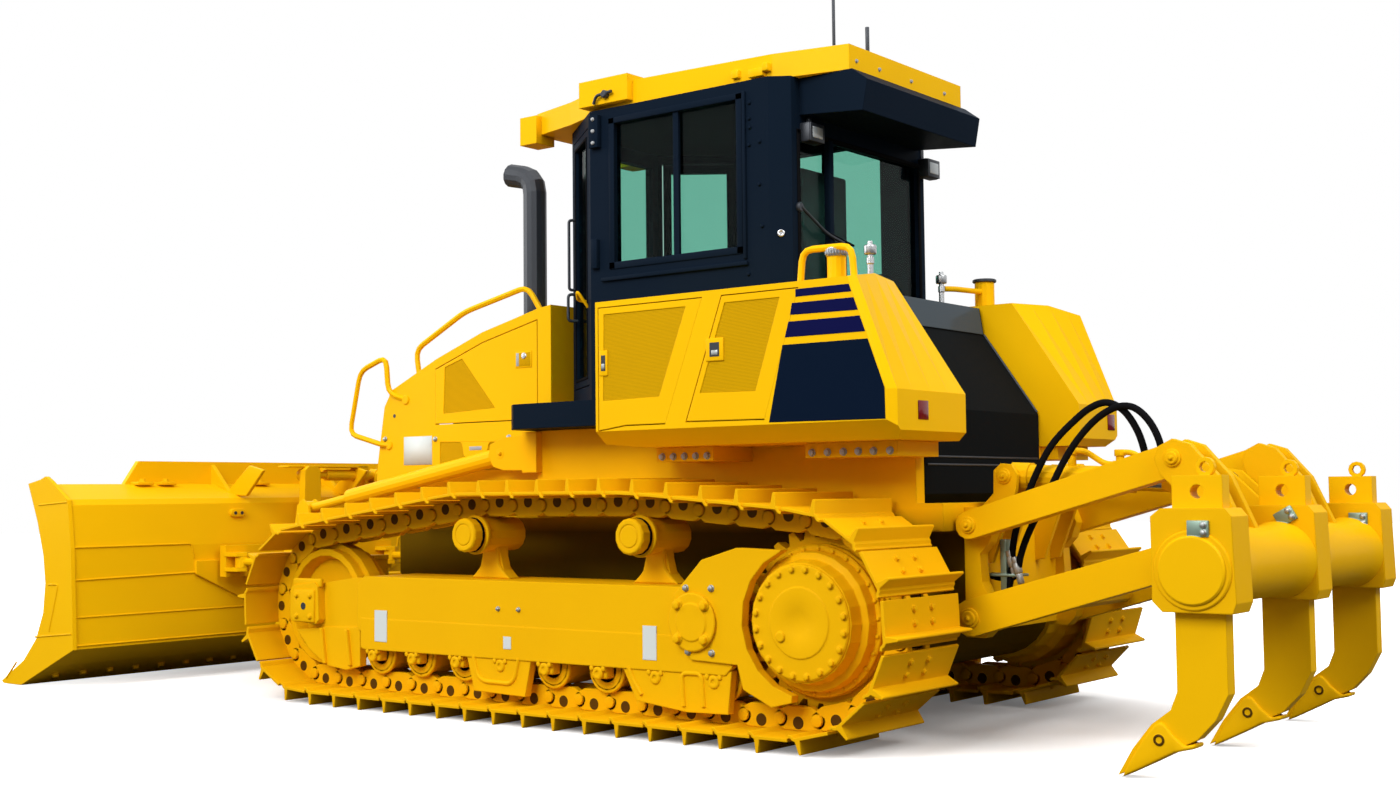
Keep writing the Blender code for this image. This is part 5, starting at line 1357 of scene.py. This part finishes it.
@dataclass
class Cab:
    """The cab's seals, hinges, lamps, bolts, wiper, lugs and lining, and the tank's plate."""

    wall: float = 0.66
    pillar_bolts: tuple[Pair, ...] = ((-0.585, 2.892), (-0.587, 2.818), (-0.584, 2.775),
                                      (-0.589, 2.693), (-0.529, 2.701), (-0.532, 2.501),
                                      (-0.519, 2.305), (-0.600, 2.088))
    foot: Pair = (0.66, -1.58)
    run: Pair = (-0.61526, -0.78832)

    def door_point(self, side: Side, along: float, z: float, out: float = 0.0) -> Vector:
        """A point in the plane of a cab door.

        Args:
            side: which door.
            along: how far from its hinged side.
            z: how high.
            out: how far outside its face.

        Returns:
            The point.
        """
        x = self.foot[0] + self.run[0] * along - self.run[1] * out
        y = self.foot[1] + self.run[1] * along + self.run[0] * out
        return at(side.value * x, y, z)

    def bar(self, name: str, low: Point, high: Point, finish: Finish = CAB_DARK,
            bevel: float = 0.003) -> bpy.types.Object:
        """A dressed block between two corners."""
        return Shop.dress(Shop.block(name, at(*low), at(*high), bevel, 2), finish)

    def seals(self, side: Side) -> Pieces:
        """The rubber round a side window and the pillar's strip beside it."""
        s, x = side.value, self.wall
        edge = [((-1.452, 2.188), (-0.628, 2.222)), ((-1.452, 2.918), (-0.628, 2.948)),
                ((-1.452, 2.190), (-1.418, 2.946)), ((-0.662, 2.190), (-0.628, 2.946))]
        made = [self.bar(f"seal_{n}", (s * (x - 0.002), low[0], low[1]),
                         (s * (x + 0.006), high[0], high[1]), CAB_DARK, 0.001)
                for n, (low, high) in enumerate(edge)]
        strip = (s * (x - 0.002), -0.622, 2.16), (s * (x + 0.014), -0.606, 2.95)
        sill = (s * (x - 0.002), -1.50, 2.130), (s * (x + 0.016), -0.600, 2.150)
        made += [self.bar("pillar_strip", *strip), self.bar("window_sill", *sill)]
        heads = [(at(s * x, y, z), Vector((s, 0, 0))) for y, z in self.pillar_bolts]
        return made + Shop.bolts("pillar_bolt", heads, 0.0085, CAB_DARK)

    def hinges(self, side: Side) -> Pieces:
        """The two hinge boxes on the front pillar."""
        s = side.value
        return [self.bar("hinge_low", (s * 0.658, -1.560, 2.198), (s * 0.684, -1.520, 2.346)),
                self.bar("hinge_high", (s * 0.658, -1.565, 2.806), (s * 0.690, -1.505, 2.971)),
                *Shop.bolts("hinge_bolt", [(at(s * 0.690, -1.535, z), Vector((s, 0, 0)))
                                           for z in (2.83, 2.89, 2.95)], 0.008, IRON)]

    def door_trim(self, side: Side) -> Pieces:
        """A cab door's rubber, its grab bar, its handle and its yellow rail."""
        low, high, left, right = 1.672, 2.878, 0.106, 0.419
        made = []
        for number, (a, b, c, d) in enumerate(((left - 0.014, low - 0.014, right + 0.014, low),
                                               (left - 0.014, high, right + 0.014, high + 0.014),
                                               (left - 0.014, low, left, high),
                                               (right, low, right + 0.014, high))):
            corners = [self.door_point(side, *spot) for spot in ((a, b), (c, b), (c, d), (a, d))]
            way = self.door_point(side, 0, 0, 0.004) - self.door_point(side, 0, 0)
            made.append(Shop.dress(Shop.plate(f"door_seal_{number}", corners, way, 0.001), RUBBER))
        grab = [self.door_point(side, 0.385, 1.98, 0.0), self.door_point(side, 0.385, 1.98, 0.05),
                self.door_point(side, 0.385, 2.12, 0.05), self.door_point(side, 0.385, 2.12, 0.0)]
        handle = [self.door_point(side, 0.440, 2.15), self.door_point(side, 0.440, 2.15, 0.035),
                  self.door_point(side, 0.440, 2.52, 0.035), self.door_point(side, 0.440, 2.52)]
        rail = [self.door_point(side, 0.125, 2.052), self.door_point(side, 0.125, 2.058, 0.045),
                self.door_point(side, 0.062, 2.098, 0.06), self.door_point(side, 0.085, 2.02)]
        return made + [Shop.dress(Shop.pipe("door_grab", grab, 0.008, 0.02), BLACK),
                       Shop.dress(Shop.pipe("door_handle", handle, 0.008, 0.02), BLACK),
                       Shop.dress(Shop.pipe("door_rail", rail, 0.008, 0.02), YELLOW)]

    def lamp(self, name: str, low: Point, high: Point, faces: int = 1,
             body: Finish = BLACK) -> Pieces:
        """A work lamp: a rounded housing, a raised bezel and a pale lens.

        Args:
            name: its name.
            low: one corner of the housing.
            high: the opposite corner.
            faces: 1 to shine to the rear and -1 to the front.
            body: the housing's finish.

        Returns:
            The dressed pieces.
        """
        face = max(low[1], high[1]) if faces > 0 else min(low[1], high[1])
        edge, deep = 0.020, 0.004 * faces
        bezel = ((low[0] + 0.003, face - deep, low[2] + 0.003),
                 (high[0] - 0.003, face + deep, high[2] - 0.003))
        lens = ((low[0] + edge, face, low[2] + edge), (high[0] - edge, face + deep * 1.6,
                                                       high[2] - edge))
        return [self.bar(f"{name}_housing", low, high, body, 0.012),
                self.bar(f"{name}_bezel", *bezel, body, 0.004),
                self.bar(f"{name}_lens", *lens, LENS, 0.003)]

    def lamps(self) -> Pieces:
        """The rear work lamps, the front lamps' lenses and the brackets that hold them."""
        made = self.lamp("rear_left", (0.408, -0.40, 2.699), (0.532, -0.335, 2.792))
        made += self.lamp("rear_right", (-0.672, -0.40, 2.690), (-0.545, -0.335, 2.789))
        for s in (1, -1):
            made += self.lamp(f"front_{s}", (s * 0.345, -2.236, 2.962), (s * 0.455, -2.20, 3.072),
                              -1, YELLOW)
        made.append(self.bar("right_lamp_arm", (-0.60, -0.42, 2.79), (-0.57, -0.385, 2.84), BLACK))
        made.append(self.bar("left_lamp_arm", (0.46, -0.39, 2.785), (0.48, -0.37, 2.835), BLACK))
        return made

    def rear(self) -> Pieces:
        """The rear window's seal, bar and wiper, and the lock on the cab's corner."""
        y = -0.392
        frame_bars = [((-0.560, 2.030), (0.560, 2.052)), ((-0.560, 2.738), (0.560, 2.760)),
                      ((-0.560, 2.032), (-0.538, 2.758)), ((0.538, 2.032), (0.560, 2.758))]
        made = [self.bar(f"rear_seal_{n}", (low[0], y, low[1]), (high[0], y + 0.008, high[1]),
                         RUBBER, 0.003) for n, (low, high) in enumerate(frame_bars)]
        made.append(self.bar("rear_bar", (0.266, -0.412, 2.05), (0.302, -0.378, 2.745)))
        arm = [at(0.545, y + 0.015, 2.392), at(0.343, y + 0.022, 2.288), at(0.20, y + 0.022, 2.262)]
        blade = [at(0.335, y + 0.012, 2.300), at(0.099, y + 0.012, 2.262)]
        hub = [(0, 0), (0.024, 0), (0.024, 0.012), (0.018, 0.018), (0, 0.018)]
        made += [Shop.dress(Shop.pipe("wiper_arm", arm, 0.0075, 0.05), BLACK),
                 Shop.dress(Shop.pipe("wiper_blade", blade, 0.0060), RUBBER),
                 disc("wiper_hub", at(0.548, y, 2.392), Vector((0, 1, 0)), hub, BLACK, 24)]
        lock = [(0, 0), (0.017, 0), (0.017, 0.006), (0.012, 0.008), (0.008, 0.005), (0, 0.005)]
        made.append(disc("corner_lock", at(0.630, -0.435, 2.266), Vector((0.832, 0.555, 0)), lock,
                         CHROME, 24))
        return made

    def roof(self) -> Pieces:
        """The roof's lugs, bolts, antennas, lining and the swivels on the lamp boxes."""
        heads = [(at(x, -0.120, 3.050), Vector((0, 1, 0))) for x in (0.46, 0.26, -0.03, -0.35)]
        made = Shop.bolts("roof_bolt", heads, 0.008, IRON)
        for s in (1, -1):
            for number, (y, z, long) in enumerate(((-0.690, 3.052, 0.020), (-0.570, 3.040, 0.042),
                                                   (-0.515, 3.060, 0.016))):
                low, high = (s * 0.598, y - long, z - 0.022), (s * 0.634, y + long, z + 0.018)
                made.append(self.bar(f"roof_lug_{number}", low, high, YELLOW, 0.004))
            x = s * 0.686
            made += [disc("swivel", at(x, -1.446, 3.062), Vector((s, 0, 0)),
                          [(0, 0), (0.020, 0), (0.020, 0.022), (0.014, 0.028), (0, 0.028)], BLACK,
                          24),
                     Shop.dress(Shop.pipe("swivel_arm", [
                         at(x + s * 0.016, -1.40, 3.070), at(x + s * 0.018, -1.50, 3.060),
                         at(x + s * 0.012, -1.52, 3.022)], 0.008, 0.02), BLACK)]
        ball = [(0, -0.004), (0.018, 0), (0.022, 0.010), (0.018, 0.022), (0.009, 0.028),
                (0.009, 0.075), (0, 0.076)]
        for x, y in ((0.307, -0.34), (0.20, -0.22)):
            made.append(disc("antenna_foot", at(x, y, 3.118), Vector((0, 0, 1)), ball, CHROME, 24))
        for x, y, top, radius in ((0.307, -0.34, 3.502, 0.0078), (0.20, -0.22, 3.284, 0.0098)):
            whip = Shop.bar("antenna_cover", at(x, y, 3.13), at(x, y, top), radius, 12, 0.001)
            made.append(Shop.dress(whip, BLACK))
        liner = [(0.30, -1.92), (0.60, -1.56), (0.60, -0.51), (0.56, -0.45)]
        liner += [(-x, y) for x, y in reversed(liner)]
        lining = Shop.plate("headliner", [at(x, y, 2.972) for x, y in liner], Vector((0, 0, 0.026)),
                            0.002)
        return made + [Shop.dress(lining, CAB_DARK)]

    def tank_plate(self) -> Pieces:
        """The blue-grey plate and the black lip on the rear tank, and its two long ridges."""
        low, high = (-0.030, 1.850), (-0.0525, 1.983)
        skin = [at(-0.535, low[0], low[1]), at(0.535, low[0], low[1]), at(0.535, high[0], high[1]),
                at(-0.535, high[0], high[1])]
        made = [Shop.dress(Shop.plate("tank_plate", skin, Vector((0, 0.003, 0.0005)), 0.001), TANK)]
        made.append(Shop.dress(Shop.pipe("tank_lip", [at(-0.545, 0.250, 1.452),
                                                      at(-0.545, -0.030, 1.850)], 0.006), BLACK))
        for number, z in enumerate((1.190, 1.225)):
            ridge = Shop.pipe(f"tank_ridge_{number}", [at(-0.53, 0.2552, z), at(0.53, 0.2552, z)],
                              0.005)
            made.append(Shop.dress(ridge, BLACK))
        return made

    def build(self) -> None:
        """Fit the cab's pieces."""
        for side in Side:
            label = side.label
            Shop.fit(f"cab_seals_{label}", self.seals(side) + self.hinges(side), "machine")
            Shop.fit(f"cab_door_trim_{label}", self.door_trim(side), f"cab_door_{label}")
        Shop.fit("cab_lamps", self.lamps(), "machine")
        Shop.fit("cab_rear", self.rear(), "machine")
        Shop.fit("roof_fittings", self.roof(), "machine")
        Shop.fit("tank_fittings", self.tank_plate(), "machine")


@dataclass
class Blade:
    """The blade's welds, lugs, stays, tilt guard and bolts."""

    half: float = 1.596
    weld: float = 0.0055
    edge_bolts: int = 18

    def weld_run(self, name: str, points: Sequence[Point]) -> bpy.types.Object:
        """A dressed weld bead or fold along a route."""
        return Shop.dress(Shop.pipe(name, [at(*p) for p in points], self.weld, 0.02, 4, 2),
                          CAST_YELLOW)

    def ridges(self) -> Pieces:
        """The folds and beads across the blade's back and down its end plates."""
        made = []
        for s in (1, -1):
            h = s * self.half
            made += [
                self.weld_run("bead_high", [(h, -4.665, 0.805), (s * 0.824, -4.665, 0.805),
                                            (s * 0.805, -4.662, 0.72)]),
                self.weld_run("bead_middle", [(h, -4.6585, 0.620), (s * 0.80, -4.6585, 0.632)]),
                self.weld_run("bead_low", [(h, -4.650, 0.410), (s * 0.443, -4.650, 0.410)]),
                self.weld_run("fold_low", [(h, -4.640, 0.252), (s * 0.30, -4.640, 0.252)]),
            ]
            x = s * 1.619
            made += [
                self.weld_run("end_bead_top", [(x, -4.998, 1.048), (x, -4.705, 1.063)]),
                self.weld_run("end_bead_middle", [(x, -4.888, 0.593), (x, -4.785, 0.596),
                                                  (x, -4.875, 0.326)]),
                self.weld_run("end_fold", [(x, -5.021, 0.290), (x, -4.645, 0.322)]),
                self.weld_run("end_bead_low", [(x, -5.219, 0.134), (x, -5.325, 0.037)]),
            ]
        return made

    def lug(self) -> Pieces:
        """The hose lugs with two holes on the blade's back."""
        hole = [(0, 0), (0.011, 0), (0.011, 0.0012), (0, 0.0012)]
        made = []
        for s in (1, -1):
            middle = s * 0.477
            pad = ([(middle + u, z) for u, z in arc((0.030, 0.985), 0.026, -90, 90, 8)]
                   + [(middle + u, z) for u, z in arc((-0.030, 0.985), 0.026, 90, 270, 8)])
            plate = Shop.plate("hose_lug", [at(x, -4.700, z) for x, z in pad],
                               Vector((0, 0.030, 0)), 0.006, 2)
            made.append(Shop.dress(plate, CAST_YELLOW))
            made += [disc("lug_hole", at(middle + u, -4.6698, 0.985), Vector((0, 1, 0)), hole,
                          BLACK, 16) for u in (-0.024, 0.024)]
        return made

    def stays(self) -> Pieces:
        """The leaning plates that brace the spill guard, with the bolted feet beside them."""
        shape = ((-4.888, 1.098), (-4.645, 1.279), (-4.500, 1.247), (-4.670, 1.088))
        made = []
        for s in (1, -1):
            plate = Shop.plate("guard_stay", [at(s * 0.40, y, z) for y, z in shape],
                               Vector((s * 0.024, 0, 0)), 0.004)
            made.append(Shop.dress(plate, YELLOW))
        heads = []
        for x in (-0.98, -0.82, -0.30, 0.12, 0.82, 0.98):
            pad = Shop.block("guard_foot", at(x - 0.055, -4.990, 1.160), at(x + 0.055, -4.900, 1.182),
                             0.005)
            made.append(Shop.dress(pad, CAST_YELLOW))
            heads.append((at(x, -4.94, 1.182), Vector((0, 0, 1))))
        return made + Shop.bolts("guard_bolt", heads, 0.018, CAST_YELLOW)

    def tilt_guard(self) -> Pieces:
        """The guard plate over the tilt cylinder with its lip and its post."""
        parts = (("tilt_guard", (-0.49, -4.70, 1.268), (0.16, -4.585, 1.280), YELLOW),
                 ("tilt_guard_lip", (-0.49, -4.595, 1.240), (-0.40, -4.585, 1.280), YELLOW),
                 ("tilt_guard_post", (-0.52, -4.72, 1.10), (-0.49, -4.62, 1.280), CAST_YELLOW))
        return [Shop.dress(Shop.block(name, at(*low), at(*high), 0.003), finish)
                for name, low, high, finish in parts]

    def edge(self) -> Pieces:
        """The plough bolts' nuts along the back of the cutting edge."""
        span = 2 * (self.half - 0.10)
        way = Vector((0, 0.379, -0.925)).normalized()
        heads = [(at(-span / 2 + span * n / (self.edge_bolts - 1), -5.013, 0.0675), way)
                 for n in range(self.edge_bolts)]
        return Shop.bolts("edge_nut", heads, 0.019, CAST_YELLOW)

    def build(self) -> None:
        """Fit the blade's pieces."""
        Shop.fit("blade_beads", self.ridges(), "blade")
        Shop.fit("blade_lugs", self.lug() + self.stays(), "blade")
        Shop.fit("blade_linkage", self.tilt_guard(), "blade")
        Shop.fit("blade_edge_nuts", self.edge(), "blade")


@dataclass
class Ripper:
    """The ripper's pin caps, keepers, teeth, end rings, sleeves, pipes and hose bulkhead."""

    low: Pair = (0.45, 0.53)
    high: Pair = (0.45, 0.925)
    reach: Pair = (0.93, 0.267)
    shanks: tuple[float, ...] = (0.92, 0.0, -0.92)
    tooth: tuple[Pair, ...] = ((1.310, 0.004), (1.338, 0.060), (1.395, 0.150), (1.440, 0.205),
                               (1.462, 0.218), (1.480, 0.208), (1.510, 0.172), (1.554, 0.137),
                               (1.592, 0.147), (1.592, 0.130), (1.514, 0.110), (1.420, 0.060))
    tooth_pin: Pair = (1.458, 0.152)

    def rear_of(self, pin: Pair) -> Pair:
        """The far end of the link that starts at a pin."""
        return pin[0] + self.reach[0], pin[1] + self.reach[1]

    def link_caps(self, side: Side) -> dict[str, Pieces]:
        """The caps on the ends of this side's links, by the body that they ride on."""
        s = side.value
        way = Vector((s, 0, 0))

        def cap(name: str, x: float, pin: Pair, radius: float) -> Pieces:
            """One pin cap at (y, z)."""
            return pin_cap(name, at(s * x, *pin), way, radius)

        return {
            "machine": cap("cylinder_pin", 0.34, (0.525, 1.134), 0.034),
            "ripper_lower_link": cap("low_front_pin", 0.5357, self.low, 0.044),
            f"ripper_upper_link_{side.label}": cap("high_front_pin", 0.5357, self.high, 0.036),
            "ripper_beam": (cap("low_rear_pin", 0.575, self.rear_of(self.low), 0.036)
                            + cap("high_rear_pin", 0.575, self.rear_of(self.high), 0.036)),
        }

    def teeth(self) -> Pieces:
        """A tooth over each shank's tip with its pin."""
        made = []
        for x in self.shanks:
            body = Shop.plate("tooth", [at(x - 0.048, y, z) for y, z in self.tooth],
                              Vector((0.096, 0, 0)), 0.010, 3)
            made.append(Shop.dress(body, YELLOW))
            y, z = self.tooth_pin
            ring = [(0.012, -0.002), (0.021, -0.002), (0.021, 0.003), (0.018, 0.005),
                    (0.014, 0.005), (0.012, 0.002), (0.012, -0.002)]
            core = [(0, -0.001), (0.012, -0.001), (0.012, 0.0015), (0, 0.0015)]
            for s in (1, -1):
                seat, way = at(x + s * 0.048, y, z), Vector((s, 0, 0))
                made += [disc("tooth_ring", seat, way, ring, CHAIN, 24),
                         disc("tooth_pin", seat, way, core, YELLOW, 24)]
        return made

    def beam_ends(self) -> Pieces:
        """The rings and caps on the beam's ends and the sleeves along it."""
        made = []
        y, z = 1.617, 0.775
        ring = [(0.100, -0.010), (0.146, -0.010), (0.146, 0.004), (0.141, 0.009), (0.100, 0.009),
                (0.100, -0.010)]
        cap = [(0, -0.002), (0.126, -0.002), (0.126, 0.014), (0.120, 0.020), (0, 0.021)]
        for s in (1, -1):
            seat, way = at(s * 1.0045, y, z), Vector((s, 0, 0))
            made += [disc("end_ring", seat, way, ring, CAST_YELLOW, 48),
                     disc("end_cap", seat, way, cap, YELLOW, 48)]
        sleeve = [(0.120, 0.0), (0.157, 0.0), (0.153, 0.02), (0.145, 0.06), (0.141, 0.12),
                  (0.141, 0.63), (0.145, 0.69), (0.153, 0.73), (0.157, 0.75), (0.120, 0.75),
                  (0.120, 0.0)]
        for x in (0.085, -0.835):
            made.append(disc("beam_sleeve", at(x, 1.615, 0.78), Vector((1, 0, 0)), sleeve,
                             CAST_YELLOW, 56))
        return made

    def retainers(self) -> Pieces:
        """The plated keepers of the shanks' pins, two bolts on each."""
        made = []
        for x, y, z, tilt in ((1.005, 1.644, 0.926, 0.0), (0.085, 1.652, 0.955, 30.0),
                              (-0.835, 1.668, 0.926, 0.0)):
            turn = Matrix.Translation(at(x, y, z)) @ Matrix.Rotation(math.radians(tilt), 4, "X")
            pad = Shop.block("keeper", Vector((0, -0.040, -0.030)), Vector((0.012, 0.040, 0.030)),
                             0.002)
            pad.data.transform(turn)
            made.append(Shop.dress(pad, KEEPER))
            heads = [(turn @ Vector((0.012, 0.022, v)), Vector((1, 0, 0))) for v in (-0.014, 0.014)]
            made += Shop.bolts("keeper_bolt", heads, 0.010, STEEL)
        return made

    def pipes(self, side: Side) -> Pieces:
        """The steel pipe and port blocks along a ripper cylinder."""
        x = side.value * 0.25
        port = Shop.bar("port", at(x, 0.803, 1.150), at(x, 0.803, 1.245), 0.021, 6)
        nut = Shop.bar("port_nut", at(x, 0.803, 1.222), at(x, 0.803, 1.252), 0.028, 6)
        line = Shop.pipe("steel_pipe", [at(x, 0.800, 1.239), at(x, 0.862, 1.238),
                                        at(x, 0.955, 1.178), at(x, 1.05, 1.176)], 0.013, 0.03)
        clamp = Shop.block("pipe_clamp", at(x - 0.03, 1.00, 1.160), at(x + 0.03, 1.03, 1.192), 0.004)
        return [Shop.dress(piece, YELLOW) for piece in (port, nut, line, clamp)]

    def valve(self) -> Pieces:
        """The bracket's hose bulkhead with its plated fittings."""
        plate = Shop.block("bulkhead", at(0.262, 0.418, 0.700), at(0.352, 0.595, 0.712), 0.003)
        stand = Shop.block("bulkhead_stand", at(0.290, 0.500, 0.640), at(0.345, 0.530, 0.860), 0.004)
        made = [Shop.dress(piece, KEEPER) for piece in (plate, stand)]
        for x, y, z in ((0.33, 0.556, 0.772), (0.340, 0.588, 0.745)):
            for number, (low, high, radius) in enumerate(((-0.075, -0.02, 0.017), (-0.03, 0.012, 0.021),
                                                          (0.008, 0.040, 0.0185))):
                nut = Shop.bar(f"hose_nut_{number}", at(x, y + 0.25 * -low - 0.01, z + low),
                               at(x, y - 0.25 * high - 0.01, z + high), radius, 6, 0.002)
                made.append(Shop.dress(nut, STEEL))
        return made

    def build(self) -> None:
        """Fit the ripper's pieces."""
        for side in Side:
            for body, caps in self.link_caps(side).items():
                Shop.fit(f"caps_{side.label}_{body}", caps, body)
            Shop.fit(f"ripper_pipes_{side.label}", self.pipes(side), f"ripper_barrel_{side.label}")
        Shop.fit("ripper_teeth", self.teeth(), "ripper_beam")
        Shop.fit("ripper_beam_ends", self.beam_ends() + self.retainers(), "ripper_beam")
        Shop.fit("ripper_valve", self.valve(), "machine")


@dataclass
class Hoses:
    """The two hoses that loop from the bracket over the ripper's upper link."""

    diameter: float = 0.030
    routes: tuple[tuple[Point, ...], ...] = (
        ((0.33, 0.432, 0.600), (0.33, 0.480, 0.603), (0.33, 0.528, 0.640), (0.33, 0.547, 0.730),
         (0.33, 0.556, 0.830), (0.33, 0.585, 0.940), (0.33, 0.660, 1.115), (0.33, 0.748, 1.262),
         (0.33, 0.860, 1.367), (0.33, 0.940, 1.420), (0.33, 1.010, 1.434), (0.328, 1.080, 1.395),
         (0.325, 1.135, 1.310), (0.315, 1.160, 1.215), (0.295, 1.150, 1.170)),
        ((0.295, 0.432, 0.700), (0.300, 0.480, 0.692), (0.315, 0.540, 0.694), (0.335, 0.578, 0.725),
         (0.345, 0.602, 0.800), (0.345, 0.645, 0.900), (0.345, 0.742, 1.071), (0.345, 0.806, 1.185),
         (0.345, 0.874, 1.281), (0.345, 0.960, 1.365), (0.345, 1.050, 1.412), (0.343, 1.128, 1.408),
         (0.340, 1.195, 1.345), (0.335, 1.235, 1.250), (0.310, 1.215, 1.175)),
    )

    @staticmethod
    def smooth(points: Sequence[Vector], steps: int = 5) -> list[Vector]:
        """Points on a smooth curve through the given ones."""
        ends = [points[0] * 2 - points[1], *points, points[-1] * 2 - points[-2]]
        made = []
        for a, b, c, d in zip(ends, ends[1:], ends[2:], ends[3:]):
            for step in range(steps):
                t = step / steps
                made.append(0.5 * ((b * 2) + (c - a) * t + (a * 2 - b * 5 + c * 4 - d) * t * t
                                   + (b * 3 - a - c * 3 + d) * t ** 3))
        return made + [points[-1]]

    def build(self) -> None:
        """Lay both hoses."""
        for number, route in enumerate(self.routes):
            path = self.smooth([at(*point) for point in route])
            hose = Shop.tube(f"ripper_hose_{number}", path, self.diameter / 2, 5)
            hose.data.materials.append(RUBBER.material())
            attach(hose, "machine")


@dataclass
class Operator:
    """The operator's seat with its soft cushions, the consoles, the levers and the dash."""

    cushions: tuple[tuple[str, Point, Point], ...] = (
        ("seat_cushion", (-0.205, -1.085, 1.875), (0.205, -0.735, 1.975)),
        ("back_cushion", (-0.185, -0.715, 2.010), (0.185, -0.650, 2.600)),
    )
    swell: float = 0.022
    cell: float = 0.009
    pressure: float = 4.0
    frames: int = 20

    def cushion(self, name: str, low: Point, high: Point) -> bpy.types.Object:
        """A crowned cushion that a cloth simulation blows up inside its cover.

        Args:
            name: its name.
            low: one corner of the form it starts from.
            high: the opposite corner.

        Returns:
            The finished cushion.
        """
        obj = Shop.block(name, at(*low), at(*high), 0.028, 4)
        Shop.pick(obj)
        remesh = obj.modifiers.new("even_mesh", "REMESH")
        remesh.mode, remesh.voxel_size = "VOXEL", self.cell
        bpy.ops.object.modifier_apply(modifier=remesh.name)
        start = [vertex.co.copy() for vertex in obj.data.vertices]
        cloth = obj.modifiers.new("cover", "CLOTH")
        cloth.settings.use_pressure = True
        cloth.settings.uniform_pressure_force = self.pressure
        cloth.settings.effector_weights.gravity = 0.0
        for number in range(1, self.frames + 1):
            bpy.context.scene.frame_set(number)
        bpy.ops.object.modifier_apply(modifier=cloth.name)
        bpy.context.scene.frame_set(1)
        for vertex, origin in zip(obj.data.vertices, start):
            move = vertex.co - origin
            if move.length > self.swell:
                vertex.co = origin + move.normalized() * self.swell
        smooth = obj.modifiers.new("soft", "SUBSURF")
        smooth.levels = smooth.render_levels = 1
        bpy.ops.object.modifier_apply(modifier=smooth.name)
        return Shop.dress(obj, CLOTH)

    def part(self, name: str, low: Point, high: Point, finish: Finish = BLACK,
             bevel: float = 0.015) -> bpy.types.Object:
        """A dressed block with soft edges."""
        return Shop.dress(Shop.block(name, at(*low), at(*high), bevel, 3), finish)

    def station(self) -> Pieces:
        """The seat's frame, the consoles with their levers, the dash and the floor mat."""
        made = [
            self.part("pedestal", (-0.16, -1.04, 1.572), (0.16, -0.72, 1.80)),
            self.part("seat_pan", (-0.225, -1.11, 1.80), (0.225, -0.67, 1.872)),
            self.part("back_shell", (-0.20, -0.640, 1.86), (0.20, -0.605, 2.66)),
            self.part("mat", (-0.26, -1.86, 1.571), (0.26, -0.70, 1.605), RUBBER, 0.004),
            self.part("dash_column", (-0.12, -1.88, 1.60), (0.12, -1.77, 2.06)),
            self.part("dash_top", (-0.20, -1.90, 2.06), (0.20, -1.73, 2.215), BLACK, 0.03),
            self.part("dash_face", (-0.15, -1.735, 2.09), (0.15, -1.722, 2.19), PANEL, 0.005),
        ]
        knob = [(0, 0), (0.010, 0.001), (0.013, 0.03), (0.022, 0.05), (0.025, 0.068), (0.019, 0.084),
                (0, 0.088)]
        for s in (1, -1):
            made += [
                self.part("console", *((s * 0.25, -1.28, 1.66), (s * 0.41, -0.66, 2.06))),
                self.part("armrest", *((s * 0.245, -1.06, 2.06), (s * 0.385, -0.66, 2.13)), CLOTH,
                          0.03),
                disc("lever", at(s * 0.32, -1.19, 2.055), Vector((0, -0.15, 1)), knob, BLACK, 24),
                Shop.dress(Shop.pipe("travel_lever", [at(s * 0.36, -1.12, 2.05),
                                                      at(s * 0.36, -1.15, 2.17)], 0.007), BLACK),
            ]
        return made

    def build(self) -> None:
        """Fit the operator's place."""
        Shop.fit("operator_place", self.station(), "machine", ["operator_station"])
        for name, low, high in self.cushions:
            piece = Shop.fit(name, [self.cushion(name, low, high)], "machine")


def main() -> None:
    """Dress the machine and set up the studio."""
    logging.basicConfig(level=logging.INFO, format="%(message)s")
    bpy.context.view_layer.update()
    Studio().build()
    Hoses().build()
    Coat().build()
    for side, phase in ((Side.LEFT, 0.985), (Side.RIGHT, 0.79)):
        Track(side, phase).build()
        RunningGear(side).build()
        Hood(side).build()
    Fenders().build()
    Cab().build()
    Operator().build()
    Blade().build()
    Ripper().build()


if __name__ == "__main__":
    main()
